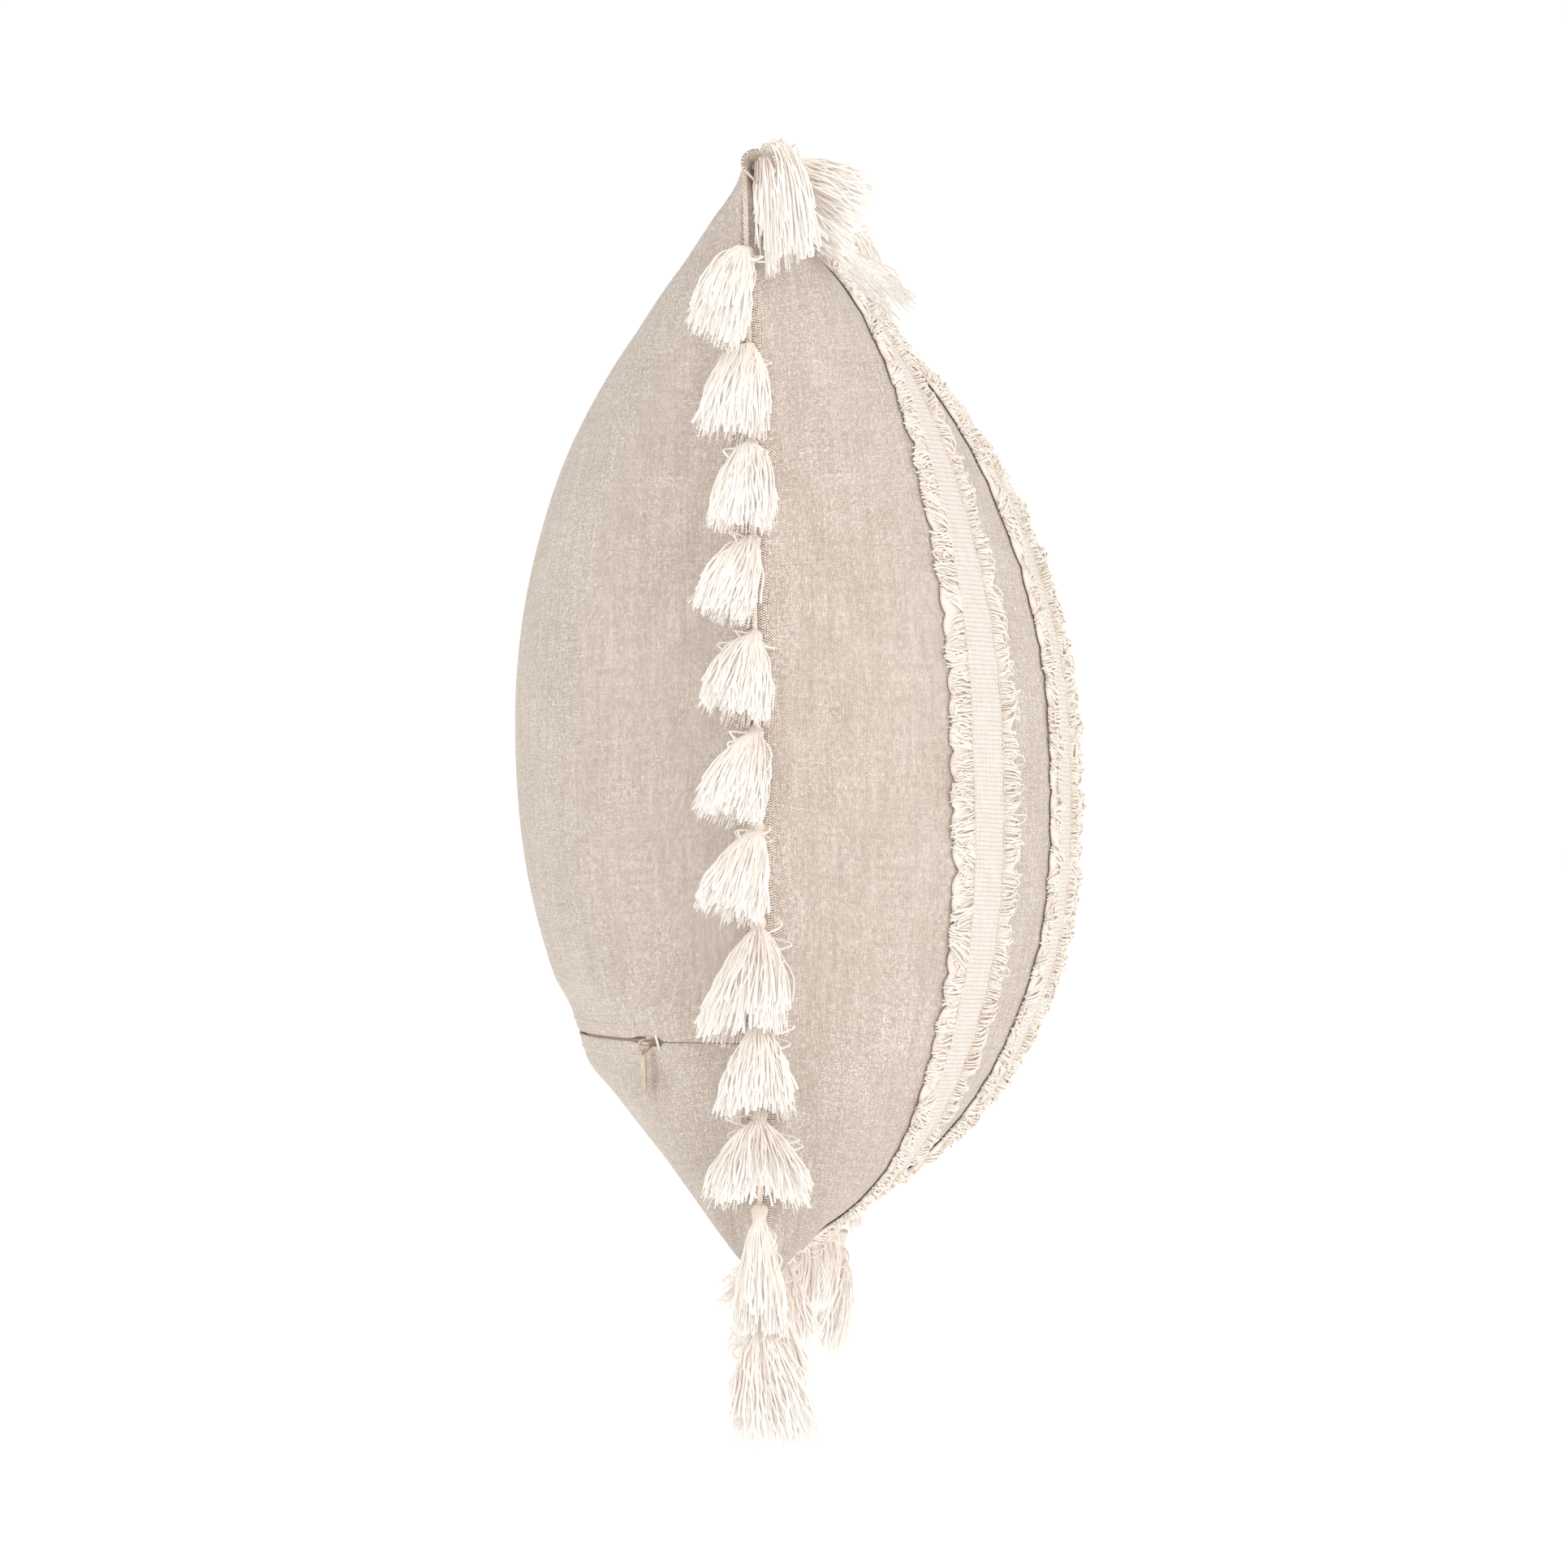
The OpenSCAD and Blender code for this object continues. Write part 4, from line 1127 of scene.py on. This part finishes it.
def make_ear(side, name, material):
    """The corner's tip of fabric, curled over into a short open roll."""
    turn = np.radians(np.linspace(215, -60, 30))[:, None]
    depth = np.linspace(0, 1, 12)[None, :]
    radius = (6.6 - 3.4 * depth ** 1.3) * (1 + 0.10 * np.sin(turn * 2 + 0.6)) + 0.5 * np.sin(turn * 3) * (1 - depth)
    fold = 1 + 0.18 * np.cos(turn)
    centre = MIDDLE + [side * (HALF_SIDE + 5.5), -7.5, HALF_SIDE - 2.0]
    x = centre[0] - side * (24 * depth + 1.2 * np.sin(turn * 2 + 1))
    y = centre[1] + np.cos(turn) * radius * fold - 2.0 * depth
    z = centre[2] + np.sin(turn) * radius * 1.15 - 7.5 * depth ** 1.2
    outer = np.stack(np.broadcast_arrays(x, y, z), axis=-1)
    normal = np.stack(np.broadcast_arrays(0 * turn, np.cos(turn), np.sin(turn)), axis=-1)
    inner = outer - normal * 0.9
    uv = np.stack(np.broadcast_arrays(24 * depth, turn * 6.5), axis=-1)
    piece("corner_roll_" + name, [slab(outer, inner, uv, flip=side > 0)], material, "pillow")


# ---------------------------------------------------------------- stage
def make_stage():
    mesh = bpy.data.meshes.new("floor")
    corners = [(x * FLOOR_HALF, y * FLOOR_HALF, FLOOR_HEIGHT) for x, y in ((-1, -1), (1, -1), (1, 1), (-1, 1))]
    mesh.from_pydata(corners, [], [(0, 1, 2, 3)])
    mesh.materials.append(stage_material("pale_floor", 0.9))
    floor = link(bpy.data.objects.new("floor", mesh))
    world = bpy.data.worlds.new("studio")
    bpy.context.scene.world = world
    world.use_nodes = True
    background = world.node_tree.nodes["Background"]
    background.inputs[0].default_value = (1, 1, 1, 1)
    background.inputs[1].default_value = WORLD_LIGHT
    for name, place, aim, size, power in LIGHTS:
        data = bpy.data.lights.new(name, "AREA")
        data.shape = "DISK"
        data.size = size
        data.energy = power
        lamp = link(bpy.data.objects.new(name, data))
        lamp.location = place
        lamp.rotation_mode = "QUATERNION"
        lamp.rotation_quaternion = (Vector(aim) - Vector(place)).to_track_quat("-Z", "Y")


def make_camera():
    data = bpy.data.cameras.new("camera")
    data.sensor_width = SENSOR
    data.lens = FOCAL / IMAGE * SENSOR
    data.clip_start, data.clip_end = 0.05, 100
    camera = link(bpy.data.objects.new("camera", data))
    turn = math.radians(CAMERA_TURN)
    forward = Vector((math.cos(turn), math.sin(turn), 0))
    right = Vector((math.sin(turn), -math.cos(turn), 0))
    middle = Vector(MIDDLE * MM)
    camera.location = (middle - forward * CAMERA_DISTANCE - right * CAMERA_SHIFT * MM
                       - Vector((0, 0, CAMERA_DROP * MM)))
    look = forward.to_track_quat("-Z", "Y").to_matrix().to_4x4()
    camera.rotation_mode = "QUATERNION"
    camera.rotation_quaternion = (look @ Matrix.Rotation(math.radians(CAMERA_ROLL), 4, "Z")).to_quaternion()
    bpy.context.scene.camera = camera


def paint(nodes, material):
    for name in nodes:
        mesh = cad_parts[name].data
        mesh.materials.clear()
        mesh.materials.append(material)


def main():
    make_camera()
    make_stage()
    linen = linen_material("linen", colour(254, 243, 232), colour(156, 134, 117))
    tape = tape_material("band_tape", colour(240, 231, 221), colour(206, 192, 178))
    fringe = yarn_material("band_fringe", colour(241, 233, 224), colour(213, 198, 183),
                           colour(246, 240, 234), 2.2)
    yarn = yarn_material("tassel", colour(243, 235, 227), colour(216, 200, 184), colour(248, 244, 239), 2.6)
    cord = yarn_material("trim_heading", colour(240, 230, 220), colour(190, 172, 156), colour(240, 230, 220), 3.0)
    thread = yarn_material("thread", colour(240, 230, 218), colour(200, 184, 168), colour(240, 230, 218), 1.2)
    # the zip tape's and coil's glow is painted light that lifts the shade in the slot between the lips
    zip_tape = tape_material("zip_tape", colour(228, 216, 202), colour(190, 174, 158), 0.28)
    coil = coil_material("zip_coil", colour(222, 208, 192), colour(176, 158, 140))
    slider = metal_material("zip_metal", colour(214, 196, 174), colour(178, 158, 136), 0.38, 0.25)
    stop = metal_material("zip_stop", colour(196, 190, 182), colour(150, 143, 134), 0.32, 1.0)
    casing = linen_material("insert_casing", colour(246, 246, 244), colour(222, 221, 218), 0.45)
    wadding = wadding_material("filling", colour(248, 248, 246), colour(226, 226, 223))
    wrinkles = simulate_cover()
    cover = Cover(wrinkles)
    make_front(cover, linen)
    make_back(cover, linen)
    make_insert(casing, wadding)
    for number, centre in enumerate(BANDS, 1):
        make_tape(cover, number, centre, tape)
        make_fringe(cover, number, centre, fringe)
    make_band_stitches(cover, thread)
    make_zip(zip_tape, coil, thread, linen)
    paint(["zip_slider", "zip_pull_ring", "zip_pull_tab"], slider)
    paint(["zip_top_stop", "zip_bottom_stop"], stop)
    for side in SIDES:
        make_heading(side, cord)
    make_ear(-1, "left", linen)
    make_ear(1, "right", linen)
    make_side_tassels(yarn)
    make_top_tassels(yarn)
    make_bottom_tassels(yarn)
    make_corner_tassels(yarn)
    bpy.context.scene.view_settings.view_transform = "Standard"


main()
